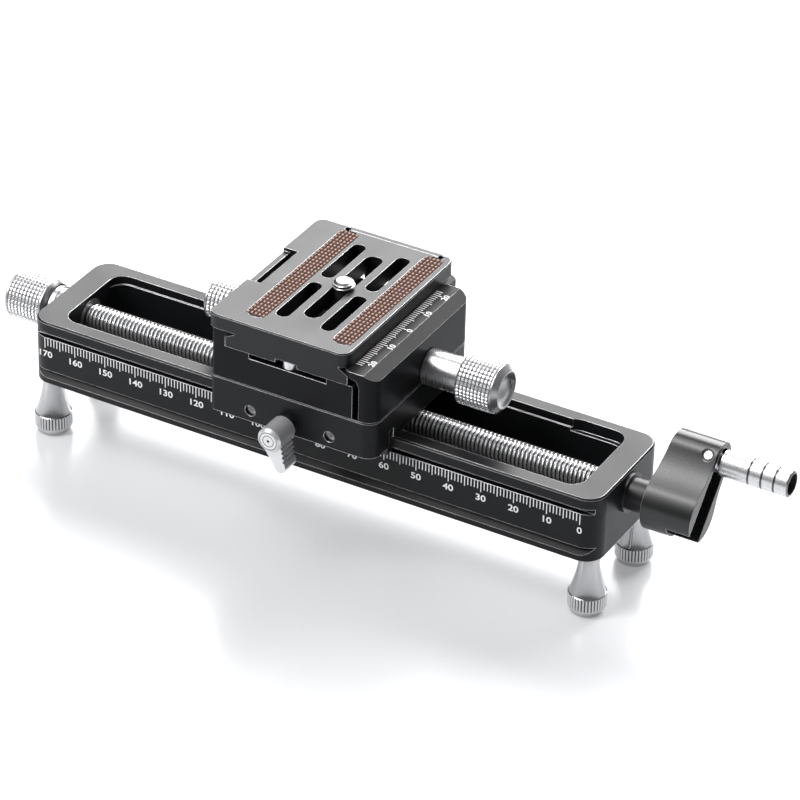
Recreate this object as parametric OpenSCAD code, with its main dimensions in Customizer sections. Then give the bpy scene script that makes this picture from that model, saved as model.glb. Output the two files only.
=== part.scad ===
// Macro focusing rail with crank, carriage, clamp and sliding camera plate.
// Lengths are in millimetres. X runs along the rail towards the crank, Y runs
// away from the viewer, Z is up. Inside the modules X = 0 and Y = 0 are the
// rail's centre and Z = 0 is its top face; in_frame() moves every piece so
// that the centre of the footprint, on the table, is the origin.

/* [Rail] */
// overall length of the rail body
rail_length = 180; // [160:5:240]
// width of the rail body across the slide and across its dovetail
rail_width = 38; // [36:0.5:42]
// height of the rail body
rail_height = 20; // [19:0.5:24]
// radius of the four plan corners of the rail body
rail_corner_radius = 5.5; // [3:0.5:7]
// bevel round the top edge of the rail body
rail_bevel = 0.5; // [0.2:0.1:0.8]
// drop from the top face to the upper edge of the guide groove
groove_drop = 3.4; // [3:0.1:4]
// height of the guide groove in each side face
groove_height = 1.5; // [1.3:0.1:1.8]
// depth of the guide groove into each side face
groove_depth = 1.8; // [1.4:0.1:2]
// depth of the dovetail undercut below the scale faces
undercut_depth = 2.4; // [2:0.1:2.8]
// height of the upright edge of the dovetail flange
flange_edge = 1.8; // [1.4:0.1:2.2]
// thickness of the wall at each end of the window
end_wall = 8; // [7:0.5:10]
// thickness of the wall along each side of the window at its top
side_wall = 4.4; // [4:0.1:5.5]
// radius of the window's plan corners
window_radius = 4.5; // [3:0.5:6]
// thickness of the floor below the window
floor_thickness = 4; // [3.5:0.1:5]
// length of the wider end of the window, beside the crank
relief_length = 14; // [10:1:20]
// how far the wider end of the window goes into the rear wall
relief_depth = 1.0; // [0.5:0.1:1.4]
// depth of the ledge line along the rear wall of the window
ledge_drop = 2.6; // [2:0.1:4]
// how far the ledge stands in from the rear wall
ledge_depth = 0.5; // [0.3:0.1:1]

/* [Lead screw] */
// depth of the lead screw axis below the rail's top face
screw_drop = 6.8; // [6.4:0.1:8]
// outer radius of the lead screw's thread
screw_radius = 4.0; // [3.5:0.1:4.5]
// radius of the plain journals at both ends of the lead screw
journal_radius = 3.0; // [2.5:0.1:3.4]
// outer radius of the bearing bushes inside the end walls
bush_radius = 5.2; // [4.6:0.1:5.4]
// radius of the bright bush flange on the crank side
bush_flange_radius = 5.7; // [5.5:0.1:6]
// thickness of the bush flange on the crank side
bush_flange = 1.0; // [0.8:0.1:1.5]
// lead of the screw, the carriage travel for one turn
screw_lead = 1.25; // [1:0.25:2]

/* [Left drive knob] */
// radius of the knurled left drive knob
drive_knob_radius = 7.0; // [6:0.5:9]
// length of the left drive knob
drive_knob_length = 13.0; // [10:0.5:18]
// thickness of the black ring beside the left drive knob
knob_ring = 1.0; // [0.6:0.1:2]
// radius of the black ring
knob_ring_radius = 6.4; // [5.9:0.1:7]
// radius of the bright neck next to the black ring
neck_radius = 6.0; // [5.8:0.1:6.4]
// length of the bright neck and its step together
neck_length = 3.3; // [2.5:0.1:4]
// length of the thicker part of the bright neck
neck_step = 1.6; // [1:0.1:2]

/* [Crank] */
// radius of the black sleeve between bush and crank
sleeve_radius = 4.7; // [4.2:0.1:5.4]
// distance from the rail's end face to the crank's inner face
crank_standoff = 7.2; // [6:0.1:10]
// thickness of the crank arm along X
crank_thickness = 14.8; // [13:0.1:17]
// amount the crank's inner face falls away at the handle end
crank_taper = 1.6; // [1:0.1:2.5]
// radius of the crank's hub end
hub_radius = 8.0; // [7.5:0.1:9]
// radius of the crank's handle end
tip_radius = 5.6; // [5.5:0.1:6.4]
// distance from the drive axis to the handle axis
crank_reach = 15.3; // [15:0.1:18]
// angle of the crank arm above the horizontal at rest
crank_angle = 47.6; // [40:0.2:60]
// radius of the hollow waist on both edges of the crank
waist_radius = 26; // [18:1:40]
// half width of the slot that takes the folded handle
crank_slot_half = 3.95; // [3.9:0.05:4.1]
// depth of that slot from the crank's outer face
crank_slot_depth = 7.0; // [6.8:0.1:7.4]
// radius of the cross pin that the handle folds on
pivot_radius = 1.2; // [1:0.1:1.4]
// depth of the cross pin axis below the crank's outer face
pivot_drop = 2.5; // [2.4:0.1:2.6]
// radius of the counterbore at the cross pin's ends
pivot_sink_radius = 1.85; // [1.7:0.05:2.1]
// depth of the counterbore at the cross pin's ends
pivot_sink = 0.6; // [0.3:0.1:0.8]
// radius of the crank handle's grip
grip_radius = 3.8; // [3.5:0.05:3.8]
// distance from the fold axis to the far end of the grip
handle_reach = 23.1; // [20:0.1:23.2]
// distance from the fold axis to the near end of the grip
grip_start = 2.8; // [2.7:0.1:4]
// radius of the handle's inner spindle
handle_spindle_radius = 2.0; // [1.6:0.1:2.4]
// radius of the spindle's eye round the fold pin
eye_radius = 3.0; // [2.6:0.1:3.2]

/* [Saddle] */
// place of the saddle's centre along the rail at rest
saddle_x = 2.2; // [-20:0.1:20]
// length of the saddle along the rail
saddle_length = 51.2; // [48:0.2:60]
// width of the saddle, the clamp and the plate across the rail
saddle_width = 60; // [58:0.5:64]
// height of the saddle's top above the rail's top face
saddle_top = 9.2; // [9:0.1:12]
// drop of the saddle's skirts below the rail's top face
skirt_drop = 1.9; // [1.5:0.1:2.4]
// radius of the saddle's and clamp block's two right upright edges
saddle_corner_radius = 3.8; // [3:0.1:5]
// radius of the saddle's and clamp block's two left upright edges
left_corner_radius = 1.2; // [0.8:0.1:5]
// wall of the saddle behind the rear gib
rear_wall = 2; // [1.6:0.1:4]
// bevel along the saddle's top and bottom edges
saddle_bevel = 0.3; // [0.2:0.05:0.5]
// sliding clearance between saddle and rail
slide_clearance = 0.06; // [0.04:0.01:0.1]
// clearance between the gibs and the walls of their groove
gib_clearance = 0.15; // [0.1:0.05:0.2]
// thickness of each gib's upright web
gib_web = 2.3; // [2:0.1:2.6]
// height of each gib's web above the rail's top face
gib_rise = 3.0; // [2.6:0.1:3.4]
// distance of the left gib screws from the saddle's left end
gib_screw_left_inset = 12.55; // [9:0.05:14]
// distance of the right gib screws from the saddle's right end
gib_screw_right_inset = 13.8; // [9:0.1:14]
// height of the gib screws above the rail's top face
gib_screw_z = 1.45; // [1.2:0.05:1.6]
// radius of the gib screws
gib_screw_radius = 1.6; // [1.4:0.1:1.8]
// depth of the gib screws' outer ends in their holes
gib_screw_sink = 1.3; // [0.8:0.1:2.5]

/* [Nut] */
// distance from each end of the saddle to the nut block below it
nut_inset = 5.8; // [4:0.1:7]
// width of the nut block
nut_width = 25; // [23:0.5:26]
// depth of the nut block's underside below the rail's top face
nut_drop = 13.4; // [13:0.1:14.5]
// outer radius of the brass nut in the block
brass_radius = 5.8; // [5.4:0.1:6]
// radius of the brass nut's flange
brass_flange_radius = 6.2; // [6.1:0.1:6.3]
// length of the brass nut
brass_length = 24; // [18:1:30]
// thickness of the brass nut's flange
brass_flange = 2.5; // [2:0.1:3]
// radius of the shanks of the screws that hold nut block and clamp block
cap_radius = 1.5; // [1.4:0.1:1.6]
// radius of those screws' heads
cap_head_radius = 2.75; // [2.5:0.05:2.9]
// height of those screws' heads
cap_head = 3.0; // [2.4:0.1:3.2]
// distance of the nut screws from the saddle's centre along X
nut_screw_x = 8; // [7:0.5:9]
// distance of the nut screws from the drive axis along Y
nut_screw_y = 9.2; // [9:0.1:9.4]
// distance from the left end of the nut block to the left stop
left_travel_gap = 0.2; // [0.1:0.1:0.5]
// radius of the travel stop screw in the floor of the window
stop_pin_radius = 2.0; // [1.5:0.1:2.4]
// travel of the carriage from rest to the travel stop
right_travel = 44.4; // [30:0.2:44.6]
// distance of the travel stop in front of the drive axis
stop_pin_y = 9; // [8:0.5:10]

/* [Lock lever] */
// place of the lock screw's axis from the saddle's centre
lock_x = -1.2; // [-3:0.1:3]
// height of the lock screw's axis above the rail's top face
lock_z = 1.2; // [1:0.1:1.4]
// radius of the lock screw
lock_screw_radius = 2.5; // [2:0.1:2.6]
// radius of the dark collar behind the lever's hub
lock_collar_radius = 3.0; // [2.8:0.1:3.4]
// length of the dark collar
lock_collar = 2.0; // [1.5:0.1:3]
// radius of the lever's hub
lock_hub_radius = 3.6; // [3.2:0.1:4]
// distance from the saddle's front face to the hub's front end
lock_reach = 10.2; // [9:0.1:12]
// distance from the saddle's front face to the lever's rear face
lever_back = 3.5; // [3:0.1:5]
// length of the lever's tongue from its axis to its rounded end
lever_length = 8.6; // [7:0.1:10]
// radius of the lever's rounded end
lever_tip_radius = 1.7; // [1.4:0.1:2.2]
// angle of the lever from straight down, towards the crank
lever_angle = 22; // [0:1:40]
// number of grip grooves on the lever's flank
lever_grooves = 4; // [3:1:5]
// radius of the grip grooves on the lever's flank
lever_groove_radius = 0.45; // [0.3:0.05:0.6]

/* [Clamp block] */
// height of the plate's bearing face above the rail's top face
block_top = 19.5; // [19:0.1:22]
// gap line between the saddle and the clamp block
block_seam = 0.05; // [0.02:0.01:0.1]
// height of the fixed jaw's top above the bearing face
fixed_jaw_rise = 4.7; // [4.5:0.1:5]
// bevel along the block's edges
block_bevel = 0.3; // [0.2:0.05:0.4]
// place of the channel's centre from the plate's centre line
channel_shift = 0.35; // [0:0.05:0.6]
// depth of the channel
channel_depth = 1.7; // [1.5:0.1:2]
// half length of the land in the middle of the channel
land_half = 4.9; // [4:0.1:7]
// radius of the fixed jaw's cut-back corners at both ends
jaw_end_radius = 2.3; // [1.5:0.1:3]
// depth of the clamp spindle's axis below the bearing face
spindle_drop = 6.9; // [6.5:0.1:7.2]
// radius of the clamp spindle
spindle_radius = 2.5; // [2:0.1:2.6]
// distance of the guide pins from the block screws along Y
guide_pin_gap = 3.2; // [3.1:0.1:3.6]
// radius of the guide pins
guide_pin_radius = 1.5; // [1.2:0.1:1.8]
// length of a guide pin inside the clamp block
guide_pin_depth = 14.3; // [12:0.1:16]
// inset of the block screws from the plate's dovetail edges
block_screw_inset = 2.8; // [2.6:0.1:3.2]
// distance of the block screws from the drive axis along Y
block_screw_y = 14.4; // [14.2:0.1:15]
// length of the block screws' shanks above their heads
block_screw_length = 10.8; // [9:0.1:11]

/* [Movable jaw] */
// gap between the clamp block and the movable jaw's web at rest
jaw_gap = 2.1; // [1.8:0.1:2.6]
// thickness of the movable jaw's web
jaw_web = 4.9; // [4.4:0.1:6]
// height of the movable jaw's top above the bearing face
jaw_rise = 4.6; // [4.4:0.1:4.65]
// gap between the saddle's top and the movable jaw
jaw_lift = 0.3; // [0.2:0.05:0.5]
// width of the flat with the scale on the jaw's top, outside the web
jaw_flat = 3.6; // [2.5:0.1:4.5]
// drop of the jaw's sloping top at its outer edge
jaw_slope_drop = 1.75; // [1:0.05:2.5]
// radius of the jaw's upright corners
jaw_corner_radius = 3.7; // [2.5:0.1:4]
// clearance of the jaws over the plate's bevels
bevel_clearance = 0.06; // [0.04:0.01:0.1]
// opening travel of the movable jaw
jaw_travel = 4; // [3:0.5:5]

/* [Clamp knobs] */
// radius of the bright neck of the clamp knob
clamp_neck_radius = 5.2; // [4.6:0.1:6]
// length of the bright neck of the clamp knob
clamp_neck = 11.4; // [9:0.1:14]
// radius of the knurled part of the clamp knob
clamp_knob_radius = 7.2; // [6.5:0.1:7.4]
// length of the knurled part of the clamp knob
clamp_knob_length = 11.0; // [7:0.1:12]
// length of the bevelled end of the clamp knob
clamp_knob_nose = 1.6; // [1:0.1:2.4]
// radius of the rim round the dished end of the clamp knob
dish_rim_radius = 5.4; // [4.8:0.1:6]
// depth of the dished end of the clamp knob
dish_depth = 1.2; // [0.8:0.1:1.5]
// radius of the small knob on the far end of the clamp spindle
small_knob_radius = 5.6; // [5:0.1:7]
// length of the small knob
small_knob_length = 10.6; // [8:0.1:12]
// gap between the clamp block and the small knob's collar
small_knob_gap = 5.2; // [5.1:0.1:6]
// length of the small knob's collar
small_collar = 2.0; // [1.5:0.1:3]
// radius of the small knob's collar
small_collar_radius = 3.8; // [3.4:0.1:4.4]
// width of the spring ring's rim round the spindle
clip_land = 0.5; // [0.3:0.1:0.5]
// thickness of the retaining ring
clip_thickness = 0.7; // [0.5:0.1:0.9]

/* [Plate] */
// distance from the clamp block's left face to the plate's dovetail
fixed_jaw_wall = 4.7; // [3.7:0.1:5.2]
// distance from the movable jaw's inner face to the plate's dovetail
movable_jaw_wall = 3.6; // [3.4:0.1:4]
// height of the plate's top above the bearing face
plate_rise = 9.1; // [8.8:0.1:10]
// thickness of the plate's upper slab
slab_thickness = 4.3; // [4:0.05:4.3]
// inset of the slab's right edge from the dovetail's edge
slab_right_inset = 0.3; // [0.1:0.1:0.5]
// reach of the slab's left edge beyond the dovetail's edge
slab_left_reach = 5.95; // [5:0.05:7]
// radius of the slab's plan corners
slab_corner_radius = 3.0; // [2:0.1:4]
// bevel round the slab's top edge
slab_bevel = 0.35; // [0.2:0.05:0.5]
// overhang of the plate's dovetail beyond its neck on each side
dovetail_reach = 2.8; // [2.4:0.1:2.9]
// drop of the dovetail's bevels from neck to widest part
dovetail_drop = 1.62; // [1.4:0.01:1.8]
// height of the neck's upright wall under the slab
neck_wall = 0.25; // [0.2:0.05:0.3]
// clearance between the plate and its bearing face
plate_clearance = 0.05; // [0.03:0.01:0.08]
// width of the camera screw slot
slot_width = 5.2; // [5:0.1:5.6]
// distance from the plate's front edge to the camera screw slot
slot_front_inset = 12.0; // [10:0.1:15]
// distance from the plate's rear edge to the camera screw slot
slot_rear_inset = 10.7; // [9:0.1:14]
// front end of the rear pair of side slots
side_rear_start = 2.4; // [2:0.1:4]
// distance from the plate's rear edge to the rear pair of side slots
side_rear_inset = 7.2; // [6.8:0.1:10]
// distance from the plate's front edge to the front pair of side slots
side_front_inset = 8.4; // [8:0.1:12]
// rear end of the front pair of side slots
side_front_end = -1.1; // [-3:0.1:-1]
// half width of the pocket for the camera screw's head
head_pocket_half = 6.5; // [6.3:0.1:7]
// depth of the pocket for the camera screw's head
head_pocket_depth = 4.2; // [4:0.1:5]
// shift of both strips towards the crank
strip_shift = 0.4; // [0:0.1:0.6]
// distance from the plate's front edge to the rubber strips
strip_front_inset = 4.5; // [3:0.1:6]
// distance from the plate's rear edge to the rubber strips
strip_rear_inset = 2.1; // [2:0.1:5]
// depth of the recess under each strip
strip_sink = 0.7; // [0.5:0.1:0.9]
// height of the strips above the plate's top
strip_proud = 0.25; // [0.1:0.05:0.4]
// length of the strap notch in the plate's left edge
notch_length = 19.9; // [16:0.1:24]
// place of the strap notch's centre along Y
notch_y = 0.45; // [-1:0.05:1]
// depth of the strap notch from the left edge
notch_depth = 4.65; // [4.2:0.05:5]
// thickness of the strap bar across the notch
strap_bar = 1.7; // [1.5:0.1:2]
// inset of the strap bar from the plate's left edge
strap_bar_inset = 0.35; // [0.2:0.05:0.6]
// drop of the strap bar below the plate's top
strap_bar_drop = 1.1; // [0.8:0.1:1.4]

/* [Plate fittings] */
// thickness of the anti-twist lip
lip_thickness = 1.6; // [1.4:0.1:1.8]
// place of the anti-twist lip's centre from the plate's centre line
lip_shift = 0.1; // [-1:0.1:1]
// sliding clearance round the anti-twist lip
lip_clearance = 0.06; // [0.04:0.01:0.1]
// radius of the round notches at both ends of the lip
lip_notch_radius = 0.9; // [0.7:0.05:1.1]
// lift of the anti-twist lip when it is raised
lip_travel = 3; // [2:0.5:3]
// radius of the safety stop screws' heads
stop_head_radius = 2.25; // [2:0.05:2.4]
// distance of the safety stop screws from the plate's edges
stop_screw_inset = 2.8; // [2.6:0.1:3]
// height of the safety stop screws' heads
stop_head = 2.75; // [2.5:0.05:2.9]
// half width of the notch over each safety stop screw
stop_notch_half = 3.4; // [3:0.1:3.8]
// depth of the notch over each safety stop screw
stop_notch_depth = 1.2; // [1:0.1:1.3]
// radius of the safety stop screws' shanks
stop_shank_radius = 1.5; // [1.2:0.1:1.6]
// length of the safety stop screws' shanks
stop_shank = 3.4; // [3:0.1:3.5]
// radius of the camera screw's thread
camera_thread_radius = 3.175; // [3.175:0.001:3.175]
// height of the camera screw's thread above the plate's top
camera_thread = 2.2; // [2:0.1:3]
// radius of the camera screw's relieved shank
camera_shank_radius = 2.45; // [2.3:0.05:2.5]
// radius of the camera screw's head
camera_head_radius = 5.8; // [5.4:0.1:6]
// height of the camera screw's head
camera_head = 2.4; // [2:0.1:2.6]
// place of the camera screw along Y at rest
camera_screw_y = 0.6; // [-2:0.1:2]
// thickness of the washer above the camera screw's head
washer_thickness = 0.6; // [0.5:0.05:0.8]
// width of the coin slot in the camera screw's head
coin_slot = 1.4; // [1.2:0.1:1.8]
// depth of the coin slot in the camera screw's head
coin_depth = 1.2; // [1:0.1:1.4]

/* [Feet] */
// height of a foot below the rail
foot_height = 18.2; // [14:0.2:24]
// distance of the feet from the rail's centre along X
foot_x = 86; // [84:0.5:86]
// distance of the feet from the rail's centre along Y
foot_y = 14; // [13:0.1:14]
// radius of a foot's slim upper neck
foot_neck_radius = 2.85; // [2.6:0.05:3.2]
// radius of a foot's knurled band
foot_radius = 5.4; // [5:0.1:6]
// length of a foot's neck and flare
foot_flare = 12.1; // [9:0.1:14]
// length of a foot's knurled band
foot_band = 4.2; // [3:0.1:6]
// radius of a foot's flat base
foot_base_radius = 4.6; // [4:0.1:5]
// radius of a foot's screw stud
foot_stud_radius = 2.0; // [1.6:0.1:2.2]
// length of a foot's screw stud
foot_stud = 6; // [4:0.1:7]

/* [Mounting holes] */
// radius of the large tripod hole, for a 3/8 inch screw
tripod_large_radius = 4.8; // [4.8:0.05:4.8]
// radius of the small tripod holes, for a 1/4 inch screw
tripod_small_radius = 3.2; // [3.2:0.05:3.2]
// distance of the small tripod holes from the large one
tripod_small_x = 40; // [30:1:60]

/* [Fits] */
// radial clearance of a turning shaft in its bore
running_fit = 0.04; // [0.02:0.01:0.08]
// radial clearance of a fixed part in its hole
fixed_fit = 0.02; // [0.01:0.01:0.04]
// face clearance beside a turning part
face_gap = 0.05; // [0.03:0.01:0.08]
// how far a cut runs past the face it opens
overrun = 1; // [0.5:0.5:2]

/* [Hidden] */

// colours of the finishes
c_black = [0.09, 0.09, 0.10];
c_dark = [0.05, 0.05, 0.055];
c_silver = [0.80, 0.80, 0.82];
c_steel = [0.62, 0.62, 0.64];
c_brass = [0.75, 0.58, 0.28];
c_rubber = [0.46, 0.20, 0.15];

// facets of small, middle and large round forms
fn_small = 32;
fn_mid = 64;
fn_large = 96;

// derived places, rail
end_x = rail_length / 2;
side_y = rail_width / 2;
window_half_x = end_x - end_wall;
window_half_y = side_y - side_wall;
floor_z = -rail_height + floor_thickness;
groove_low = groove_drop + groove_height;
undercut_z = -rail_height + flange_edge + undercut_depth;
undercut_rise_share = 0.1;
axis_z = -screw_drop;
thread_half = window_half_x - face_gap;

// derived places, ends of the drive
bush_face_x = end_x + bush_flange;
crank_x = end_x + crank_standoff;
crank_face_x = crank_x + crank_thickness;
tip_y = crank_reach * cos(crank_angle);
tip_z = axis_z + crank_reach * sin(crank_angle);
pivot_x = crank_face_x - pivot_drop;
handle_end_x = pivot_x + handle_reach;
slot_floor_x = crank_face_x - crank_slot_depth;
neck_x = -end_x - neck_length;
ring_x = neck_x - knob_ring;
knob_end_x = ring_x - drive_knob_length;
waist_a = (pow(crank_reach, 2) + pow(waist_radius + hub_radius, 2)
    - pow(waist_radius + tip_radius, 2)) / (2 * crank_reach);
waist_b = sqrt(pow(waist_radius + hub_radius, 2) - pow(waist_a, 2));

// derived places, carriage
block_left = saddle_x - saddle_length / 2;
block_length = saddle_length - jaw_gap - jaw_web;
block_right = block_left + block_length;
dovetail_half = (block_length + jaw_gap - fixed_jaw_wall - movable_jaw_wall) / 2;
dovetail_neck = dovetail_half - dovetail_reach;
plate_x = block_left + fixed_jaw_wall + dovetail_half;
plate_shift = plate_x - saddle_x;
nut_length = saddle_length - 2 * nut_inset;
gib_screw_left_x = gib_screw_left_inset - saddle_length / 2;
gib_screw_right_x = saddle_length / 2 - gib_screw_right_inset;
guide_pin_y = block_screw_y + guide_pin_gap;
block_screw_x = dovetail_half - block_screw_inset;
channel_share = 1.27895;
channel_width = dovetail_half * channel_share;
jaw_in_x = block_right + jaw_gap;
jaw_out_x = jaw_in_x + jaw_web;
clip_radius = spindle_radius + clip_land;
spindle_z = block_top - spindle_drop;
block_bottom = saddle_top + block_seam;
saddle_front = -saddle_width / 2;
guide_y = side_y + slide_clearance;
gib_out_y = guide_y + gib_web;
saddle_rear = gib_out_y + rear_wall;
front_y = saddle_front - lock_reach;
clamp_knob_x = jaw_out_x + clamp_neck;
clamp_nose_x = clamp_knob_x + clamp_knob_length;
clamp_end_x = clamp_nose_x + clamp_knob_nose;
small_collar_x = block_left - small_knob_gap;
small_knob_x = small_collar_x - small_collar;
small_end_x = small_knob_x - small_knob_length;

// derived places, plate
plate_low = block_top + plate_clearance;
plate_top = block_top + plate_rise;
slab_low = plate_top - slab_thickness;
bevel_top = slab_low - neck_wall;
bevel_low = bevel_top - dovetail_drop;
bevel_share = dovetail_drop / (dovetail_half - dovetail_neck);
plate_depth = saddle_width;
plate_rear = plate_depth / 2;
slab_right = dovetail_half - slab_right_inset;
slab_left = dovetail_half + slab_left_reach;
slot_front = slot_front_inset - plate_rear;
slot_rear = plate_rear - slot_rear_inset;
side_slot_share = 0.36842;
side_slot_x = dovetail_half * side_slot_share;
side_slot_width_share = 0.21579;
side_slot_width = dovetail_half * side_slot_width_share;
side_rear_end = plate_rear - side_rear_inset;
side_front_start = side_front_inset - plate_rear;
strip_share = 0.71053;
strip_x = dovetail_half * strip_share;
strip_width_share = 0.31579;
strip_width = dovetail_half * strip_width_share;
strip_front = strip_front_inset - plate_rear;
strip_rear = plate_rear - strip_rear_inset;
lip_share = 1.55789;
lip_length = dovetail_half * lip_share;
stop_screw_y = plate_rear - stop_screw_inset;
strip_low = plate_top - strip_sink;
pocket_top = plate_low + head_pocket_depth;
washer_top = pocket_top - face_gap;
head_top = washer_top - washer_thickness - face_gap;
head_low = head_top - camera_head;

// small sizes and shares of single pieces
stop_pin_x = saddle_x + nut_length / 2 + right_travel + stop_pin_radius;
neck_straight_share = 0.12;
flare_steps = 8;
flare_radius = foot_radius - rail_bevel;
knob_bore_share = 0.75;
hub_bore_depth = 4.0;
bolt_grip = 9.0;
hub_web = 1.2;
knob_edge = 0.7;
knob_dish_radius = 4.6;
knob_grub_inset = 4.0;
fn_waist = 192;
hub_touch_a = waist_a * hub_radius / (waist_radius + hub_radius);
hub_touch_b = waist_b * hub_radius / (waist_radius + hub_radius);
tip_touch_a = crank_reach - (crank_reach - waist_a) * tip_radius / (waist_radius + tip_radius);
tip_touch_b = waist_b * tip_radius / (waist_radius + tip_radius);
taper_start_share = 0.6;
socket_share = 0.85;
pin_in_share = 0.7;
grip_recess = 3.0;
spindle_hole_share = 0.7;
eye_clear_share = 0.08;
grip_near = grip_start + eye_radius * eye_clear_share;
grip_edge = 0.35;
grip_hollow_radius = 3.0;
grip_groove = 0.6;
grip_groove_depth = 0.35;
grip_groove_shares = [0.506, 0.671, 0.831];
end_slot_share = 0.72;
gib_inset = 0.6;
rear_socket_share = 0.5;
dimple_share = 0.6;
dimple_depth_share = 0.2;
nut_screw_depth = 6.5;
fixed_jaw_room = 0.4;
lip_edge = 0.5;
block_inset = 0.25;
guide_room = 0.5;
lock_cover = 2.0;
lever_root_share = 0.94;
lever_end_share = 0.96;
lever_root = lock_hub_radius * lever_root_share;
lever_end = lever_tip_radius * lever_end_share;
groove_start_share = 0.2;
groove_span_share = 0.8;
lever_dome = 0.7;
lever_step = 0.3;
jaw_relief_share = 0.3;
pin_share = 0.75;
dish_floor_share = 0.6;
dish_mouth_share = 1.1;
thread_lead_in = 0.5;

// offset from the working axes to the shared frame
frame_x = (knob_end_x + handle_end_x) / 2;
frame_y = (front_y - saddle_front) / 2;
frame_z = rail_height + foot_height;

module in_frame() {
    translate([-frame_x, -frame_y, frame_z]) children();
}

// a round bar along X from x1 to x2
module bar_x(r, x1, x2, fn = 64) {
    translate([x1, 0, 0]) rotate([0, 90, 0]) cylinder(h = x2 - x1, r = r, $fn = fn);
}

// a round bar along Y from y1 to y2
module bar_y(r, y1, y2, fn = 64) {
    translate([0, y1, 0]) rotate([-90, 0, 0]) cylinder(h = y2 - y1, r = r, $fn = fn);
}

// a round bar along Z from z1 to z2
module bar_z(r, z1, z2, fn = 64) {
    translate([0, 0, z1]) cylinder(h = z2 - z1, r = r, $fn = fn);
}

// a cone along X from x1 with radius r1 to x2 with radius r2
module cone_x(x1, r1, x2, r2, fn = 64) {
    translate([x1, 0, 0]) rotate([0, 90, 0]) cylinder(h = x2 - x1, r1 = r1, r2 = r2, $fn = fn);
}

// a block between two corners
module box_at(low, high) {
    translate(low) cube([high[0] - low[0], high[1] - low[1], high[2] - low[2]]);
}

// plan outline with round corners, between two opposite corners
module round_plan(x1, y1, x2, y2, r, fn = 64) {
    translate([x1 + r, y1]) square([x2 - x1 - 2 * r, y2 - y1]);
    translate([x1, y1 + r]) square([x2 - x1, y2 - y1 - 2 * r]);
    for (x = [x1 + r, x2 - r], y = [y1 + r, y2 - r]) translate([x, y]) circle(r = r, $fn = fn);
}

// plan outline whose corners have the radius r1 on the left and r2 on the right
module uneven_plan(x1, y1, x2, y2, r1, r2, fn = 64) {
    middle = (x1 + x2) / 2;
    translate([x1 + r1, y1]) square([x2 - r2 - x1 - r1, y2 - y1]);
    translate([x1, y1 + r1]) square([middle - x1, y2 - y1 - 2 * r1]);
    translate([middle, y1 + r2]) square([x2 - middle, y2 - y1 - 2 * r2]);
    for (y = [y1 + r1, y2 - r1]) translate([x1 + r1, y]) circle(r = r1, $fn = fn);
    for (y = [y1 + r2, y2 - r2]) translate([x2 - r2, y]) circle(r = r2, $fn = fn);
}

// a layer whose upper edge is bevelled by b all round, corners included
module bevel_layer(x1, y1, x2, y2, r1, r2, b) {
    middle = (x1 + x2) / 2;
    for (y = [y1 + r1, y2 - r1])
        translate([x1 + r1, y, 0]) cylinder(h = b, r1 = r1, r2 = r1 - b, $fn = fn_mid);
    for (y = [y1 + r2, y2 - r2])
        translate([x2 - r2, y, 0]) cylinder(h = b, r1 = r2, r2 = r2 - b, $fn = fn_mid);
    translate([x1 + r1, 0, 0]) rotate([90, 0, 90]) linear_extrude(x2 - r2 - x1 - r1)
        polygon([[y1, 0], [y2, 0], [y2 - b, b], [y1 + b, b]]);
    translate([0, y2 - r1, 0]) rotate([90, 0, 0]) linear_extrude(y2 - y1 - 2 * r1)
        polygon([[x1, 0], [middle, 0], [middle, b], [x1 + b, b]]);
    translate([0, y2 - r2, 0]) rotate([90, 0, 0]) linear_extrude(y2 - y1 - 2 * r2)
        polygon([[middle, 0], [x2, 0], [x2 - b, b], [middle, b]]);
}

// an upright block with round corners, as above, and a bevelled top edge
module bevel_block(x1, y1, x2, y2, z1, z2, r1, r2, b) {
    translate([0, 0, z1]) linear_extrude(z2 - z1 - b) uneven_plan(x1, y1, x2, y2, r1, r2);
    translate([0, 0, z2 - b]) bevel_layer(x1, y1, x2, y2, r1, r2, b);
}

// a slot along Y with round ends
module slot_y(x, y1, y2, w, z1, z2) {
    translate([x, 0, z1]) linear_extrude(z2 - z1) {
        translate([-w / 2, y1 + w / 2]) square([w, y2 - y1 - w]);
        translate([0, y1 + w / 2]) circle(r = w / 2, $fn = fn_mid);
        translate([0, y2 - w / 2]) circle(r = w / 2, $fn = fn_mid);
    }
}

// an outline closed by the mirror image of its right half
module both_halves(half) {
    last = len(half) - 1;
    polygon(concat(half, [for (i = [last : -1 : 0]) [-half[i][0], half[i][1]]]));
}

// the side profile of the rail, drawn in Y and Z
module rail_profile() {
    both_halves([
        [side_y, 0],
        [side_y, -groove_drop],
        [side_y - groove_depth, -groove_drop],
        [side_y - groove_depth, -groove_low],
        [side_y, -groove_low],
        [side_y, undercut_z + undercut_depth * undercut_rise_share],
        [side_y - undercut_depth, undercut_z],
        [side_y, -rail_height + flange_edge],
        [side_y, -rail_height]]);
}

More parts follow.
